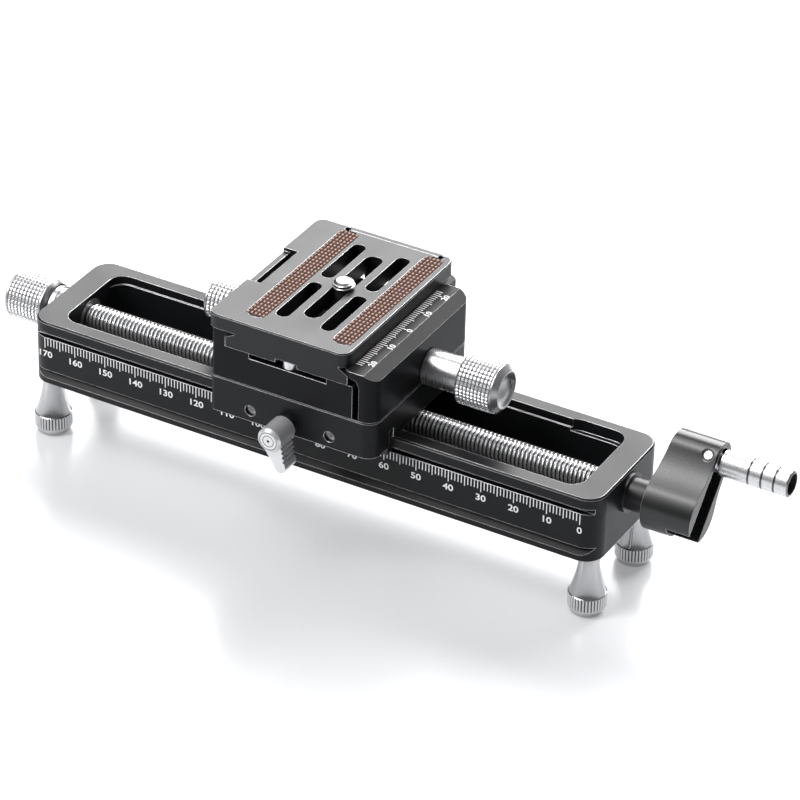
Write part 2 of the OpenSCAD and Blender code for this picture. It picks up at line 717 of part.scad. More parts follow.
module rail_body() {
    color(c_black) in_frame() difference() {
        intersection() {
            translate([-end_x, 0, 0]) rotate([90, 0, 90]) linear_extrude(rail_length) rail_profile();
            bevel_block(-end_x, -side_y, end_x, side_y, -rail_height, 0, rail_corner_radius,
                rail_corner_radius, rail_bevel);
        }
        translate([0, 0, floor_z]) linear_extrude(rail_height)
            round_plan(-window_half_x, -window_half_y, window_half_x,
                window_half_y - ledge_depth, window_radius);
        translate([0, 0, -ledge_drop]) linear_extrude(rail_height)
            round_plan(-window_half_x, -window_half_y, window_half_x,
                window_half_y, window_radius);
        translate([0, 0, -ledge_drop - relief_depth]) linear_extrude(rail_height)
            round_plan(window_half_x - relief_length - window_radius, 0, window_half_x,
                window_half_y + relief_depth, window_radius);
        translate([0, 0, axis_z]) bar_x(bush_radius + fixed_fit, -end_x - overrun,
            end_x + overrun, fn_large);
        for (x = [-foot_x, foot_x], y = [-foot_y, foot_y]) translate([x, y, 0])
            bar_z(foot_stud_radius + fixed_fit, -rail_height - overrun,
                -rail_height + foot_stud + fixed_fit, fn_small);
        bar_z(tripod_large_radius, -rail_height - overrun, floor_z + overrun);
        for (x = [-tripod_small_x, tripod_small_x]) translate([x, 0, 0])
            bar_z(tripod_small_radius, -rail_height - overrun, floor_z + overrun);
        translate([stop_pin_x, -stop_pin_y, 0]) bar_z(stop_pin_radius + fixed_fit,
            -rail_height - overrun, floor_z + overrun, fn_small);
    }
}

module bush_right() {
    color(c_silver) in_frame() translate([0, 0, axis_z]) difference() {
        union() {
            bar_x(bush_radius, window_half_x + face_gap, end_x, fn_large);
            bar_x(bush_flange_radius, end_x, bush_face_x, fn_large);
        }
        bar_x(journal_radius + running_fit, 0, bush_face_x + overrun);
    }
}

module bush_left() {
    color(c_silver) in_frame() translate([0, 0, axis_z]) difference() {
        union() {
            bar_x(bush_radius, -end_x, -window_half_x - face_gap, fn_large);
            bar_x(neck_radius, neck_x, neck_x + neck_step, fn_large);
            bar_x(bush_flange_radius, neck_x, -end_x, fn_large);
        }
        bar_x(journal_radius + running_fit, neck_x - overrun, 0);
    }
}

// one foot with its stud, standing under the rail
module foot(x, y) {
    color(c_silver) in_frame() translate([x, y, -rail_height]) rotate_extrude($fn = fn_mid)
        polygon([
            [0, foot_stud],
            [foot_stud_radius, foot_stud],
            [foot_stud_radius, 0],
            [foot_neck_radius, 0],
            [foot_neck_radius, -foot_flare * neck_straight_share],
            for (i = [1 : flare_steps]) [
                foot_neck_radius + (flare_radius - foot_neck_radius) * pow(i / flare_steps, 2),
                -foot_flare * (neck_straight_share
                    + (1 - neck_straight_share) * i / flare_steps)],
            [foot_radius, -foot_flare],
            [foot_radius, -foot_flare - foot_band],
            [foot_base_radius, -foot_height],
            [0, -foot_height]]);
}

module foot_front_left() {
    foot(-foot_x, -foot_y);
}

module foot_front_right() {
    foot(foot_x, -foot_y);
}

module foot_rear_left() {
    foot(-foot_x, foot_y);
}

module foot_rear_right() {
    foot(foot_x, foot_y);
}

module travel_stop() {
    color(c_steel) in_frame() translate([stop_pin_x, -stop_pin_y, 0])
        bar_z(stop_pin_radius, -rail_height + fixed_fit, -nut_drop + stop_pin_radius, fn_small);
}

module lead_screw() {
    color(c_silver) in_frame() translate([0, 0, axis_z]) difference() {
        union() {
            bar_x(screw_radius, -thread_half, thread_half);
            bar_x(journal_radius, ring_x - drive_knob_length * knob_bore_share, crank_x
                + hub_bore_depth);
        }
        bar_x(cap_radius + fixed_fit, crank_x + hub_bore_depth - bolt_grip, end_x * 2, fn_small);
    }
}

module knob_ring_black() {
    color(c_dark) in_frame() translate([0, 0, axis_z]) difference() {
        bar_x(knob_ring_radius, ring_x, neck_x - face_gap, fn_large);
        bar_x(journal_radius + fixed_fit, ring_x - overrun, neck_x + overrun);
    }
}

module drive_knob() {
    color(c_silver) in_frame() translate([0, 0, axis_z]) difference() {
        union() {
            cone_x(knob_end_x, drive_knob_radius - knob_edge, knob_end_x + knob_edge,
                drive_knob_radius, fn_large);
            bar_x(drive_knob_radius, knob_end_x + knob_edge, ring_x - knob_edge, fn_large);
            cone_x(ring_x - knob_edge, drive_knob_radius, ring_x,
                drive_knob_radius - knob_edge, fn_large);
        }
        bar_x(journal_radius + fixed_fit, ring_x - drive_knob_length * knob_bore_share
            - face_gap, ring_x + overrun);
        translate([ring_x - knob_grub_inset, 0, 0]) bar_z(gib_screw_radius + fixed_fit,
            -drive_knob_radius - overrun, 0, fn_small);
        bar_x(knob_dish_radius, knob_end_x - overrun, knob_end_x + knob_edge, fn_mid);
    }
}

module knob_grub() {
    color(c_dark) in_frame() translate([ring_x - knob_grub_inset, 0, axis_z])
        bar_z(gib_screw_radius, -drive_knob_radius + gib_screw_sink * knob_bore_share,
            -journal_radius - face_gap, fn_small);
}

module crank_sleeve() {
    color(c_dark) in_frame() translate([0, 0, axis_z]) difference() {
        bar_x(sleeve_radius, bush_face_x + face_gap, crank_x, fn_large);
        bar_x(journal_radius + fixed_fit, end_x, crank_x + overrun);
    }
}

// outline of the crank, drawn with the arm along the first axis
module crank_outline() {
    circle(r = hub_radius, $fn = fn_large);
    translate([crank_reach, 0]) circle(r = tip_radius, $fn = fn_large);
    difference() {
        polygon([
            [0, -hub_touch_b],
            [hub_touch_a, -hub_touch_b],
            [tip_touch_a, -tip_touch_b],
            [crank_reach, -tip_touch_b],
            [crank_reach, tip_touch_b],
            [tip_touch_a, tip_touch_b],
            [hub_touch_a, hub_touch_b],
            [0, hub_touch_b]]);
        for (s = [-1, 1]) translate([waist_a, s * waist_b]) circle(r = waist_radius, $fn = fn_waist);
    }
}

module crank_arm() {
    color(c_black) in_frame() translate([0, 0, axis_z]) rotate([crank_angle, 0, 0])
        difference() {
            translate([crank_x, 0, 0]) rotate([90, 0, 90]) linear_extrude(crank_thickness)
                crank_outline();
            translate([crank_x, 0, 0]) linear_extrude(crank_thickness * 2, center = true)
                polygon([
                    [-overrun, hub_radius * taper_start_share],
                    [0, hub_radius * taper_start_share],
                    [crank_taper, crank_reach + tip_radius],
                    [crank_taper, crank_reach + tip_radius + overrun],
                    [-overrun, crank_reach + tip_radius + overrun]]);
            box_at([slot_floor_x, -hub_radius - overrun, -crank_slot_half],
                [crank_face_x + overrun, crank_reach, crank_slot_half]);
            translate([0, crank_reach, 0]) bar_x(crank_slot_half, slot_floor_x,
                crank_face_x + overrun, fn_large);
            bar_x(journal_radius + fixed_fit, crank_x - overrun, crank_x + hub_bore_depth
                + fixed_fit);
            bar_x(cap_radius + fixed_fit, crank_x, crank_face_x, fn_small);
            bar_x(cap_head_radius + fixed_fit, crank_x + hub_bore_depth + hub_web,
                crank_face_x);
            translate([pivot_x, crank_reach, 0]) {
                bar_z(pivot_radius + fixed_fit, -tip_radius - overrun, tip_radius + overrun,
                    fn_small);
                for (m = [0, 1]) mirror([0, 0, m]) bar_z(pivot_sink_radius,
                    tip_radius - pivot_sink, tip_radius + overrun, fn_small);
            }
        }
}

module crank_bolt() {
    color(c_dark) in_frame() translate([0, 0, axis_z]) difference() {
        union() {
            bar_x(cap_radius, crank_x + hub_bore_depth - bolt_grip + face_gap,
                crank_x + hub_bore_depth + hub_web, fn_small);
            bar_x(cap_head_radius, crank_x + hub_bore_depth + hub_web,
                slot_floor_x - fixed_fit);
        }
        bar_x(cap_radius * socket_share, slot_floor_x - cap_radius, slot_floor_x + overrun,
            fn_small);
    }
}

module crank_pin() {
    color(c_silver) in_frame() translate([pivot_x, 0, axis_z]) rotate([crank_angle, 0, 0])
        translate([0, crank_reach, 0]) bar_z(pivot_radius, -tip_radius + pivot_sink * pin_in_share,
            tip_radius - pivot_sink * pin_in_share, fn_small);
}

module handle_spindle() {
    color(c_steel) in_frame() translate([pivot_x, 0, axis_z]) rotate([crank_angle, 0, 0])
        translate([0, crank_reach, 0]) difference() {
            union() {
                intersection() {
                    bar_z(eye_radius, -crank_slot_half + face_gap, crank_slot_half - face_gap);
                    sphere(r = crank_slot_half - face_gap, $fn = fn_large);
                }
                bar_x(handle_spindle_radius, 0, handle_reach - grip_recess - face_gap);
            }
            bar_z(pivot_radius + running_fit, -crank_slot_half, crank_slot_half, fn_small);
            bar_x(cap_radius * spindle_hole_share + fixed_fit, handle_reach / 2, handle_reach,
                fn_small);
        }
}

module handle_grip() {
    color(c_silver) in_frame() translate([pivot_x, 0, axis_z]) rotate([crank_angle, 0, 0])
        translate([0, crank_reach, 0]) difference() {
            union() {
                cone_x(grip_near, grip_radius - grip_edge, grip_near + grip_edge, grip_radius);
                bar_x(grip_radius, grip_near + grip_edge, handle_reach - grip_edge);
                cone_x(handle_reach - grip_edge, grip_radius, handle_reach,
                    grip_radius - grip_edge);
            }
            bar_x(handle_spindle_radius + running_fit, 0, handle_reach + overrun);
            bar_x(grip_hollow_radius, handle_reach - grip_recess, handle_reach + overrun);
            for (x = grip_groove_shares * handle_reach) translate([x, 0, 0]) difference() {
                bar_x(grip_radius + overrun, -grip_groove / 2, grip_groove / 2);
                bar_x(grip_radius - grip_groove_depth, -grip_groove, grip_groove);
            }
        }
}

module handle_end_screw() {
    color(c_dark) in_frame() translate([pivot_x, 0, axis_z]) rotate([crank_angle, 0, 0])
        translate([0, crank_reach, 0]) difference() {
            union() {
                bar_x(grip_hollow_radius - running_fit, handle_reach - grip_recess + face_gap,
                    handle_reach - grip_recess / 2);
                bar_x(cap_radius * spindle_hole_share, handle_reach / 2 + face_gap,
                    handle_reach - grip_recess + face_gap, fn_small);
            }
            box_at([handle_reach - grip_recess * end_slot_share, -coin_slot / 2 * socket_share,
                -grip_radius], [handle_reach, coin_slot / 2 * socket_share, grip_radius]);
        }
}

// cuts for the screws through the saddle, drawn from its centre
module saddle_cuts() {
    for (x = [-nut_screw_x, nut_screw_x], y = [-nut_screw_y, nut_screw_y]) translate([x, y, 0]) {
        bar_z(cap_radius + fixed_fit, -overrun, saddle_top + overrun, fn_small);
        bar_z(cap_head_radius + fixed_fit, saddle_top - cap_head - fixed_fit,
            saddle_top + overrun, fn_small);
    }
    for (y = [-block_screw_y, block_screw_y], x = [-block_screw_x, block_screw_x])
        translate([x + plate_shift, y, 0]) {
            bar_z(cap_radius + fixed_fit, -overrun, saddle_top + overrun, fn_small);
            bar_z(cap_head_radius + fixed_fit, -overrun, slide_clearance + cap_head
                + fixed_fit, fn_small);
        }
    for (x = [gib_screw_left_x, gib_screw_right_x], m = [0, 1]) mirror([0, m, 0])
        translate([x, 0, gib_screw_z]) bar_y(gib_screw_radius + fixed_fit,
            saddle_front - overrun, -gib_out_y, fn_small);
    translate([lock_x, 0, lock_z]) bar_y(lock_screw_radius + running_fit,
        saddle_front - overrun, -gib_out_y);
}

module saddle() {
    color(c_black) in_frame() translate([saddle_x, 0, 0]) difference() {
        bevel_block(-saddle_length / 2, saddle_front, saddle_length / 2, saddle_rear,
            -skirt_drop, saddle_top, left_corner_radius, saddle_corner_radius, saddle_bevel);
        box_at([-saddle_length, -guide_y, -skirt_drop - overrun],
            [saddle_length, guide_y, slide_clearance]);
        for (m = [0, 1]) mirror([0, m, 0]) box_at(
            [-saddle_length, guide_y, -skirt_drop - overrun],
            [saddle_length, gib_out_y + face_gap, gib_rise + face_gap]);
        saddle_cuts();
    }
}

// one gib, drawn on the front side
module gib() {
    difference() {
        union() {
            box_at([-saddle_length / 2 + gib_inset, -gib_out_y, -groove_low + gib_clearance],
                [saddle_length / 2 - gib_inset, -guide_y, gib_rise]);
            box_at([-saddle_length / 2 + gib_inset, -guide_y - gib_web / 2,
                -groove_low + gib_clearance],
                [saddle_length / 2 - gib_inset, -side_y + groove_depth - gib_clearance,
                -groove_drop - gib_clearance]);
        }
        for (x = [gib_screw_left_x, gib_screw_right_x]) translate([x, -gib_out_y, gib_screw_z])
            bar_y(gib_screw_radius * dimple_share, -overrun, gib_web * dimple_depth_share,
                fn_small);
    }
}

module front_gib() {
    color(c_steel) in_frame() translate([saddle_x, 0, 0]) gib();
}

module rear_gib() {
    color(c_steel) in_frame() translate([saddle_x, 0, 0]) mirror([0, 1, 0]) gib();
}

// one gib screw with a hex socket, drawn on the front side from the depth start_y
module gib_screw(start_y, socket_depth) {
    difference() {
        bar_y(gib_screw_radius, start_y, -gib_out_y - fixed_fit, fn_small);
        bar_y(gib_screw_radius * dimple_share, start_y - overrun, start_y + socket_depth,
            fn_small);
    }
}

module front_gib_screw(x) {
    color(c_steel) in_frame() translate([saddle_x + x, 0, gib_screw_z])
        gib_screw(saddle_front + gib_screw_sink, gib_screw_radius);
}

module rear_gib_screw(x) {
    color(c_steel) in_frame() translate([saddle_x + x, 0, gib_screw_z]) mirror([0, 1, 0])
        gib_screw(face_gap - saddle_rear, rear_wall * rear_socket_share);
}

module gib_screw_front_left() {
    front_gib_screw(gib_screw_left_x);
}

module gib_screw_front_right() {
    front_gib_screw(gib_screw_right_x);
}

module gib_screw_rear_left() {
    rear_gib_screw(gib_screw_left_x);
}

module gib_screw_rear_right() {
    rear_gib_screw(gib_screw_right_x);
}

module nut_block() {
    color(c_black) in_frame() translate([saddle_x, 0, 0]) difference() {
        translate([0, 0, -nut_drop]) linear_extrude(nut_drop + slide_clearance)
            round_plan(-nut_length / 2, -nut_width / 2, nut_length / 2, nut_width / 2,
                window_radius);
        translate([0, 0, axis_z]) {
            bar_x(brass_radius + fixed_fit, -brass_length / 2, nut_length, fn_large);
            bar_x(brass_flange_radius + fixed_fit, -nut_length, -brass_length / 2
                + brass_flange + fixed_fit, fn_large);
        }
        for (x = [-nut_screw_x, nut_screw_x], y = [-nut_screw_y, nut_screw_y])
            translate([x, y, 0]) bar_z(cap_radius + fixed_fit, -nut_screw_depth - face_gap,
                overrun, fn_small);
    }
}

module drive_nut() {
    color(c_brass) in_frame() translate([saddle_x, 0, axis_z]) difference() {
        union() {
            bar_x(brass_radius, -brass_length / 2 + brass_flange, brass_length / 2, fn_large);
            bar_x(brass_flange_radius, -brass_length / 2, -brass_length / 2 + brass_flange,
                fn_large);
        }
        bar_x(screw_radius + running_fit, -brass_length, brass_length, fn_large);
    }
}

// one socket head screw, head top at z = 0, shank downwards
module cap_screw(shank) {
    difference() {
        union() {
            bar_z(cap_head_radius, -cap_head, 0, fn_small);
            bar_z(cap_radius, -cap_head - shank, -cap_head, fn_small);
        }
        bar_z(cap_radius * socket_share, -cap_head / 2, overrun, fn_small);
    }
}

// one nut screw, by the signs of its place
module nut_screw(i, j) {
    color(c_dark) in_frame() translate([saddle_x + i * nut_screw_x, j * nut_screw_y,
        saddle_top]) cap_screw(saddle_top - cap_head + nut_screw_depth);
}

module nut_screw_1() {
    nut_screw(-1, -1);
}

module nut_screw_2() {
    nut_screw(1, -1);
}

module nut_screw_3() {
    nut_screw(-1, 1);
}

module nut_screw_4() {
    nut_screw(1, 1);
}

// one block screw from below, by the signs of its place
module block_screw(i, j) {
    color(c_dark) in_frame() translate([plate_x + i * block_screw_x, j * block_screw_y,
        slide_clearance + fixed_fit]) mirror([0, 0, 1]) cap_screw(block_screw_length);
}

module block_screw_1() {
    block_screw(-1, -1);
}

module block_screw_2() {
    block_screw(1, -1);
}

module block_screw_3() {
    block_screw(-1, 1);
}

module block_screw_4() {
    block_screw(1, 1);
}

// end profile of the clamp block with its fixed jaw, drawn in X and Z
module block_profile() {
    polygon([
        [block_left + block_bevel, block_bottom],
        [block_right, block_bottom],
        [block_right, block_top - block_bevel],
        [block_right - block_bevel, block_top],
        [plate_x - dovetail_half - fixed_jaw_room, block_top],
        [plate_x - dovetail_half - fixed_jaw_room, bevel_low + bevel_clearance],
        [plate_x - dovetail_half, bevel_low + bevel_clearance],
        [plate_x - dovetail_neck - lip_edge, bevel_top + bevel_clearance - lip_edge * bevel_share],
        [plate_x - dovetail_neck - lip_edge, block_top + fixed_jaw_rise],
        [block_left + block_bevel, block_top + fixed_jaw_rise],
        [block_left, block_top + fixed_jaw_rise - block_bevel],
        [block_left, block_bottom + block_bevel]]);
}

// cut-back end of the fixed jaw's lip at the distance end_y to the rear, or by side 1 mirrored
module jaw_end_cut(side, end_y) {
    mirror([0, side, 0]) mirror([0, 1, 0]) difference() {
        box_at([plate_x - dovetail_neck - lip_edge - jaw_end_radius,
            end_y - block_inset - jaw_end_radius, bevel_low],
            [plate_x, end_y + overrun, block_top * 2]);
        translate([plate_x - dovetail_neck - lip_edge - jaw_end_radius,
            end_y - block_inset - jaw_end_radius, 0])
            bar_z(jaw_end_radius, 0, block_top * 2);
    }
}

module clamp_block() {
    color(c_black) in_frame() difference() {
        intersection() {
            translate([0, saddle_rear - block_inset, 0]) rotate([90, 0, 0])
                linear_extrude(saddle_rear - saddle_front - 2 * block_inset) block_profile();
            translate([0, 0, saddle_top]) linear_extrude(block_top) {
                uneven_plan(block_left, saddle_front + block_inset, block_left + saddle_length,
                    saddle_rear - block_inset, left_corner_radius, saddle_corner_radius);
            }
        }
        // cut-back ends of the fixed jaw's lip
        jaw_end_cut(0, -saddle_front);
        jaw_end_cut(1, saddle_rear);
        for (m = [0, 1]) mirror([0, m, 0]) box_at(
            [plate_x + channel_shift - channel_width / 2, land_half, block_top - channel_depth],
            [plate_x + channel_shift + channel_width / 2, saddle_width, block_top + overrun]);
        translate([0, 0, spindle_z]) {
            bar_x(spindle_radius + running_fit, block_left - overrun, block_right + overrun);
            for (y = [-guide_pin_y, guide_pin_y]) translate([0, y, 0]) bar_x(guide_pin_radius
                + running_fit, block_right - guide_pin_depth - guide_room, block_right
                + overrun, fn_small);
        }
        for (x = [-block_screw_x, block_screw_x], y = [-block_screw_y, block_screw_y])
            translate([plate_x + x, y, 0]) bar_z(cap_radius + fixed_fit, 0,
                slide_clearance + cap_head + block_screw_length + face_gap, fn_small);
    }
}

module lock_screw() {
    color(c_steel) in_frame() translate([saddle_x + lock_x, 0, lock_z])
        bar_y(lock_screw_radius, front_y + lock_cover, -gib_out_y - face_gap);
}

module lock_collar_dark() {
    color(c_dark) in_frame() translate([saddle_x + lock_x, 0, lock_z]) difference() {
        bar_y(lock_collar_radius, saddle_front - lock_collar, saddle_front - face_gap);
        bar_y(lock_screw_radius + fixed_fit, front_y, saddle_front + overrun);
    }
}

// outline of the lever's tongue, along minus the second axis
module lever_outline() {
    difference() {
        union() {
            translate([0, -lever_length]) circle(r = lever_tip_radius, $fn = fn_mid);
            polygon([
                [-lever_root, 0], [lever_root, 0],
                [lever_end, -lever_length], [-lever_end, -lever_length]]);
        }
        for (i = [1 : lever_grooves]) translate([
            lever_root + (lever_end - lever_root) * (groove_start_share
                + groove_span_share * i / (lever_grooves + 1)),
            -lever_length * (groove_start_share + groove_span_share * i / (lever_grooves + 1))])
            circle(r = lever_groove_radius, $fn = fn_small);
    }
}

module lock_lever() {
    color(c_silver) in_frame() translate([saddle_x + lock_x, 0, lock_z]) difference() {
        union() {
            translate([0, saddle_front - lever_back, 0]) rotate([90, 0, 0])
                rotate([0, 0, lever_angle]) linear_extrude(lock_reach - lever_back
                - lever_dome - lever_step) lever_outline();
            bar_y(lock_hub_radius, saddle_front - lock_reach + lever_dome, saddle_front
                - lock_collar - face_gap);
            translate([0, front_y, 0]) rotate([-90, 0, 0]) cylinder(h = lever_dome,
                r1 = lock_hub_radius - lever_dome, r2 = lock_hub_radius, $fn = fn_mid);
        }
        bar_y(lock_screw_radius + fixed_fit, front_y + lock_cover - face_gap,
            saddle_front + overrun);
    }
}

// end profile of the movable jaw, drawn in X and Z
module jaw_profile() {
    polygon([
        [jaw_in_x, saddle_top + jaw_lift],
        [jaw_out_x, saddle_top + jaw_lift],
        [jaw_out_x, block_top + jaw_rise - jaw_slope_drop],
        [jaw_out_x - jaw_flat, block_top + jaw_rise],
        [plate_x + dovetail_neck + lip_edge, block_top + jaw_rise],
        [plate_x + dovetail_neck + lip_edge, bevel_top + bevel_clearance
            - lip_edge * bevel_share],
        [plate_x + dovetail_half, bevel_low + bevel_clearance],
        [plate_x + dovetail_half + bevel_clearance, bevel_low - neck_wall],
        [block_right + jaw_flat * jaw_relief_share, bevel_low - jaw_gap * jaw_relief_share],
        [jaw_in_x, block_top + jaw_lift]]);
}

module movable_jaw() {
    color(c_black) in_frame() difference() {
        intersection() {
            translate([0, saddle_rear, 0]) rotate([90, 0, 0])
                linear_extrude(saddle_rear - saddle_front) jaw_profile();
            translate([0, 0, saddle_top]) linear_extrude(block_top) round_plan(
                plate_x + dovetail_neck + lip_edge, saddle_front, jaw_out_x, saddle_rear,
                jaw_corner_radius);
        }
        translate([0, 0, spindle_z]) {
            bar_x(spindle_radius + running_fit, jaw_in_x - overrun, jaw_out_x + overrun);
            for (y = [-guide_pin_y, guide_pin_y]) translate([0, y, 0]) bar_x(guide_pin_radius
                + fixed_fit, jaw_in_x - overrun, jaw_in_x + jaw_web * pin_share
                + fixed_fit, fn_small);
        }
    }
}

// one guide pin, fixed in the movable jaw
module guide_pin(y) {
    color(c_steel) in_frame() translate([0, y, spindle_z]) bar_x(guide_pin_radius,
        block_right - guide_pin_depth, jaw_in_x + jaw_web * pin_share, fn_small);
}

module guide_pin_front() {
    guide_pin(-guide_pin_y);
}

module guide_pin_rear() {
    guide_pin(guide_pin_y);
}

module clamp_spindle() {
    color(c_steel) in_frame() translate([0, 0, spindle_z]) bar_x(spindle_radius,
        small_knob_x - small_knob_length * knob_bore_share, clamp_nose_x - clamp_knob_nose);
}

module clamp_knob() {
    color(c_silver) in_frame() translate([0, 0, spindle_z]) difference() {
        union() {
            bar_x(clamp_neck_radius, jaw_out_x + face_gap, clamp_knob_x, fn_large);
            cone_x(clamp_knob_x, clamp_knob_radius - knob_edge, clamp_knob_x + knob_edge,
                clamp_knob_radius, fn_large);
            bar_x(clamp_knob_radius, clamp_knob_x + knob_edge, clamp_nose_x, fn_large);
            cone_x(clamp_nose_x, clamp_knob_radius, clamp_end_x, dish_rim_radius, fn_large);
        }
        bar_x(spindle_radius + fixed_fit, jaw_out_x, clamp_nose_x - clamp_knob_nose
            + face_gap);
        cone_x(clamp_end_x - dish_depth, dish_rim_radius * dish_floor_share,
            clamp_end_x + dish_depth, dish_rim_radius * dish_mouth_share, fn_large);
    }
}

module small_knob() {
    color(c_silver) in_frame() translate([0, 0, spindle_z]) difference() {
        union() {
            bar_x(small_collar_radius, small_knob_x, small_collar_x);
            cone_x(small_knob_x - knob_edge, small_knob_radius, small_knob_x,
                small_knob_radius - knob_edge, fn_large);
            bar_x(small_knob_radius, small_end_x + knob_edge, small_knob_x - knob_edge,
                fn_large);
            cone_x(small_end_x, small_knob_radius - knob_edge, small_end_x + knob_edge,
                small_knob_radius, fn_large);
        }
        bar_x(spindle_radius + fixed_fit, small_knob_x - small_knob_length * knob_bore_share
            - face_gap, small_collar_x + overrun);
    }
}

module spindle_ring() {
    color(c_steel) in_frame() translate([0, 0, spindle_z]) difference() {
        bar_x(clip_radius, jaw_in_x - face_gap - clip_thickness, jaw_in_x - face_gap);
        bar_x(spindle_radius + fixed_fit, block_right, jaw_in_x + overrun);
    }
}

// end profile of the plate's dovetail, drawn in X and Z
module dovetail_profile() {
    translate([plate_x, 0]) both_halves([
        [dovetail_half - neck_wall, plate_low],
        [dovetail_half, plate_low + neck_wall],
        [dovetail_half, bevel_low],
        [dovetail_neck, bevel_top],
        [dovetail_neck, slab_low + neck_wall]]);
}

module plate_body() {
    difference() {
        union() {
            bevel_block(plate_x - slab_left, -plate_rear, plate_x + slab_right, plate_rear,
                slab_low, plate_top, slab_corner_radius, slab_corner_radius, slab_bevel);
            translate([0, plate_rear, 0]) rotate([90, 0, 0]) linear_extrude(plate_depth)
                dovetail_profile();
        }
        slot_y(plate_x, slot_front, slot_rear, slot_width, 0, plate_top + overrun);
        for (x = [-side_slot_x, side_slot_x]) {
            slot_y(plate_x + x, side_rear_start, side_rear_end, side_slot_width, 0,
                plate_top + overrun);
            slot_y(plate_x + x, side_front_start, side_front_end, side_slot_width, 0,
                plate_top + overrun);
        }
        slot_y(plate_x, slot_front + slot_width / 2 - head_pocket_half,
            slot_rear - slot_width / 2 + head_pocket_half, 2 * head_pocket_half,
            0, pocket_top);
        for (x = [-strip_x, strip_x]) slot_y(plate_x + x + strip_shift, strip_front - fixed_fit,
            strip_rear + fixed_fit, strip_width + 2 * fixed_fit, strip_low, plate_top + overrun);
        box_at([plate_x - slab_left - overrun, notch_y - notch_length / 2, slab_low - overrun],
            [plate_x - slab_left + notch_depth, notch_y + notch_length / 2,
            plate_top + overrun]);
        box_at([plate_x + lip_shift - lip_length / 2 - lip_clearance, plate_rear
            - lip_thickness - lip_clearance, slab_low],
            [plate_x + lip_shift + lip_length / 2 + lip_clearance, plate_rear + overrun,
            plate_top + overrun]);
        for (x = [-lip_length / 2, lip_length / 2]) translate([plate_x + lip_shift + x,
            plate_rear - lip_thickness, 0]) bar_z(lip_notch_radius, slab_low, plate_top
            + overrun, fn_small);
        for (m = [0, 1]) mirror([0, m, 0]) {
            box_at([plate_x - stop_notch_half, stop_screw_y - stop_head_radius
                - running_fit, 0], [plate_x + stop_notch_half, plate_depth,
                plate_low + stop_notch_depth]);
            translate([plate_x, stop_screw_y, 0]) bar_z(stop_shank_radius + fixed_fit, 0,
                plate_low + stop_notch_depth + stop_shank + face_gap, fn_small);
        }
    }
}

// the strap bar lies across the notch in the plate's left edge
module plate() {
    color(c_black) in_frame() union() {
        plate_body();
        box_at([plate_x - slab_left + strap_bar_inset,
            notch_y - notch_length / 2 - strap_bar_inset, slab_low + strap_bar_inset],
            [plate_x - slab_left + strap_bar_inset + strap_bar,
            notch_y + notch_length / 2 + strap_bar_inset, plate_top - strap_bar_drop]);
    }
}

// one rubber strip with round ends
module strip(x) {
    color(c_rubber) in_frame() slot_y(plate_x + x + strip_shift, strip_front, strip_rear,
        strip_width, strip_low, plate_top + strip_proud);
}

module strip_left() {
    strip(-strip_x);
}

module strip_right() {
    strip(strip_x);
}

module anti_twist_lip() {
    color(c_black) in_frame() difference() {
        box_at([plate_x + lip_shift - lip_length / 2, plate_rear - lip_thickness,
            slab_low + face_gap],
            [plate_x + lip_shift + lip_length / 2, plate_rear, plate_top]);
        for (x = [-lip_length / 2, lip_length / 2]) translate([plate_x + lip_shift + x,
            plate_rear - lip_thickness, 0]) bar_z(lip_notch_radius + lip_clearance, 0,
            plate_top + overrun, fn_small);
    }
}

// one safety stop screw, head below the plate
module stop_screw(y) {
    color(c_silver) in_frame() translate([plate_x, y, plate_low + stop_notch_depth])
        difference() {
            union() {
                bar_z(stop_head_radius, -stop_head, 0);
                bar_z(stop_shank_radius, 0, stop_shank, fn_small);
            }
            bar_z(stop_shank_radius * dimple_share, -stop_head - overrun, -stop_head / 2,
                fn_small);
        }
}

module stop_screw_front() {
    stop_screw(-stop_screw_y);
}

module stop_screw_rear() {
    stop_screw(stop_screw_y);
}

module camera_washer() {
    color(c_steel) in_frame() translate([plate_x, camera_screw_y, 0]) difference() {
        bar_z(camera_head_radius, washer_top - washer_thickness, washer_top);
        bar_z(camera_shank_radius + running_fit, 0, plate_top);
    }
}

module camera_screw() {
    color(c_silver) in_frame() translate([plate_x, camera_screw_y, 0]) difference() {
        union() {
            bar_z(camera_head_radius, head_low, head_top);
            bar_z(camera_shank_radius, head_top, plate_top + face_gap);
            bar_z(camera_thread_radius, plate_top + face_gap, plate_top + camera_thread
                - thread_lead_in);
            translate([0, 0, plate_top + camera_thread - thread_lead_in])
                cylinder(h = thread_lead_in, r1 = camera_thread_radius,
                    r2 = camera_thread_radius - thread_lead_in, $fn = fn_mid);
        }
        box_at([-camera_head_radius - overrun, -coin_slot / 2, head_low - overrun],
            [camera_head_radius + overrun, coin_slot / 2, head_low + coin_depth]);
    }
}

rail_body();
bush_right();
bush_left();
foot_front_left();
foot_front_right();
foot_rear_left();
foot_rear_right();
travel_stop();
lead_screw();
knob_ring_black();
drive_knob();
knob_grub();
crank_sleeve();
crank_arm();
crank_bolt();
crank_pin();
handle_spindle();
handle_grip();
handle_end_screw();
saddle();
front_gib();
rear_gib();
gib_screw_front_left();
gib_screw_front_right();
gib_screw_rear_left();
gib_screw_rear_right();
nut_block();
drive_nut();
nut_screw_1();
nut_screw_2();
nut_screw_3();
nut_screw_4();
clamp_block();
block_screw_1();
block_screw_2();
block_screw_3();
block_screw_4();
lock_screw();
lock_collar_dark();
lock_lever();
movable_jaw();
guide_pin_front();
guide_pin_rear();
clamp_spindle();
clamp_knob();
small_knob();
spindle_ring();
plate();
strip_left();
strip_right();
anti_twist_lip();
stop_screw_front();
stop_screw_rear();
camera_washer();
camera_screw();
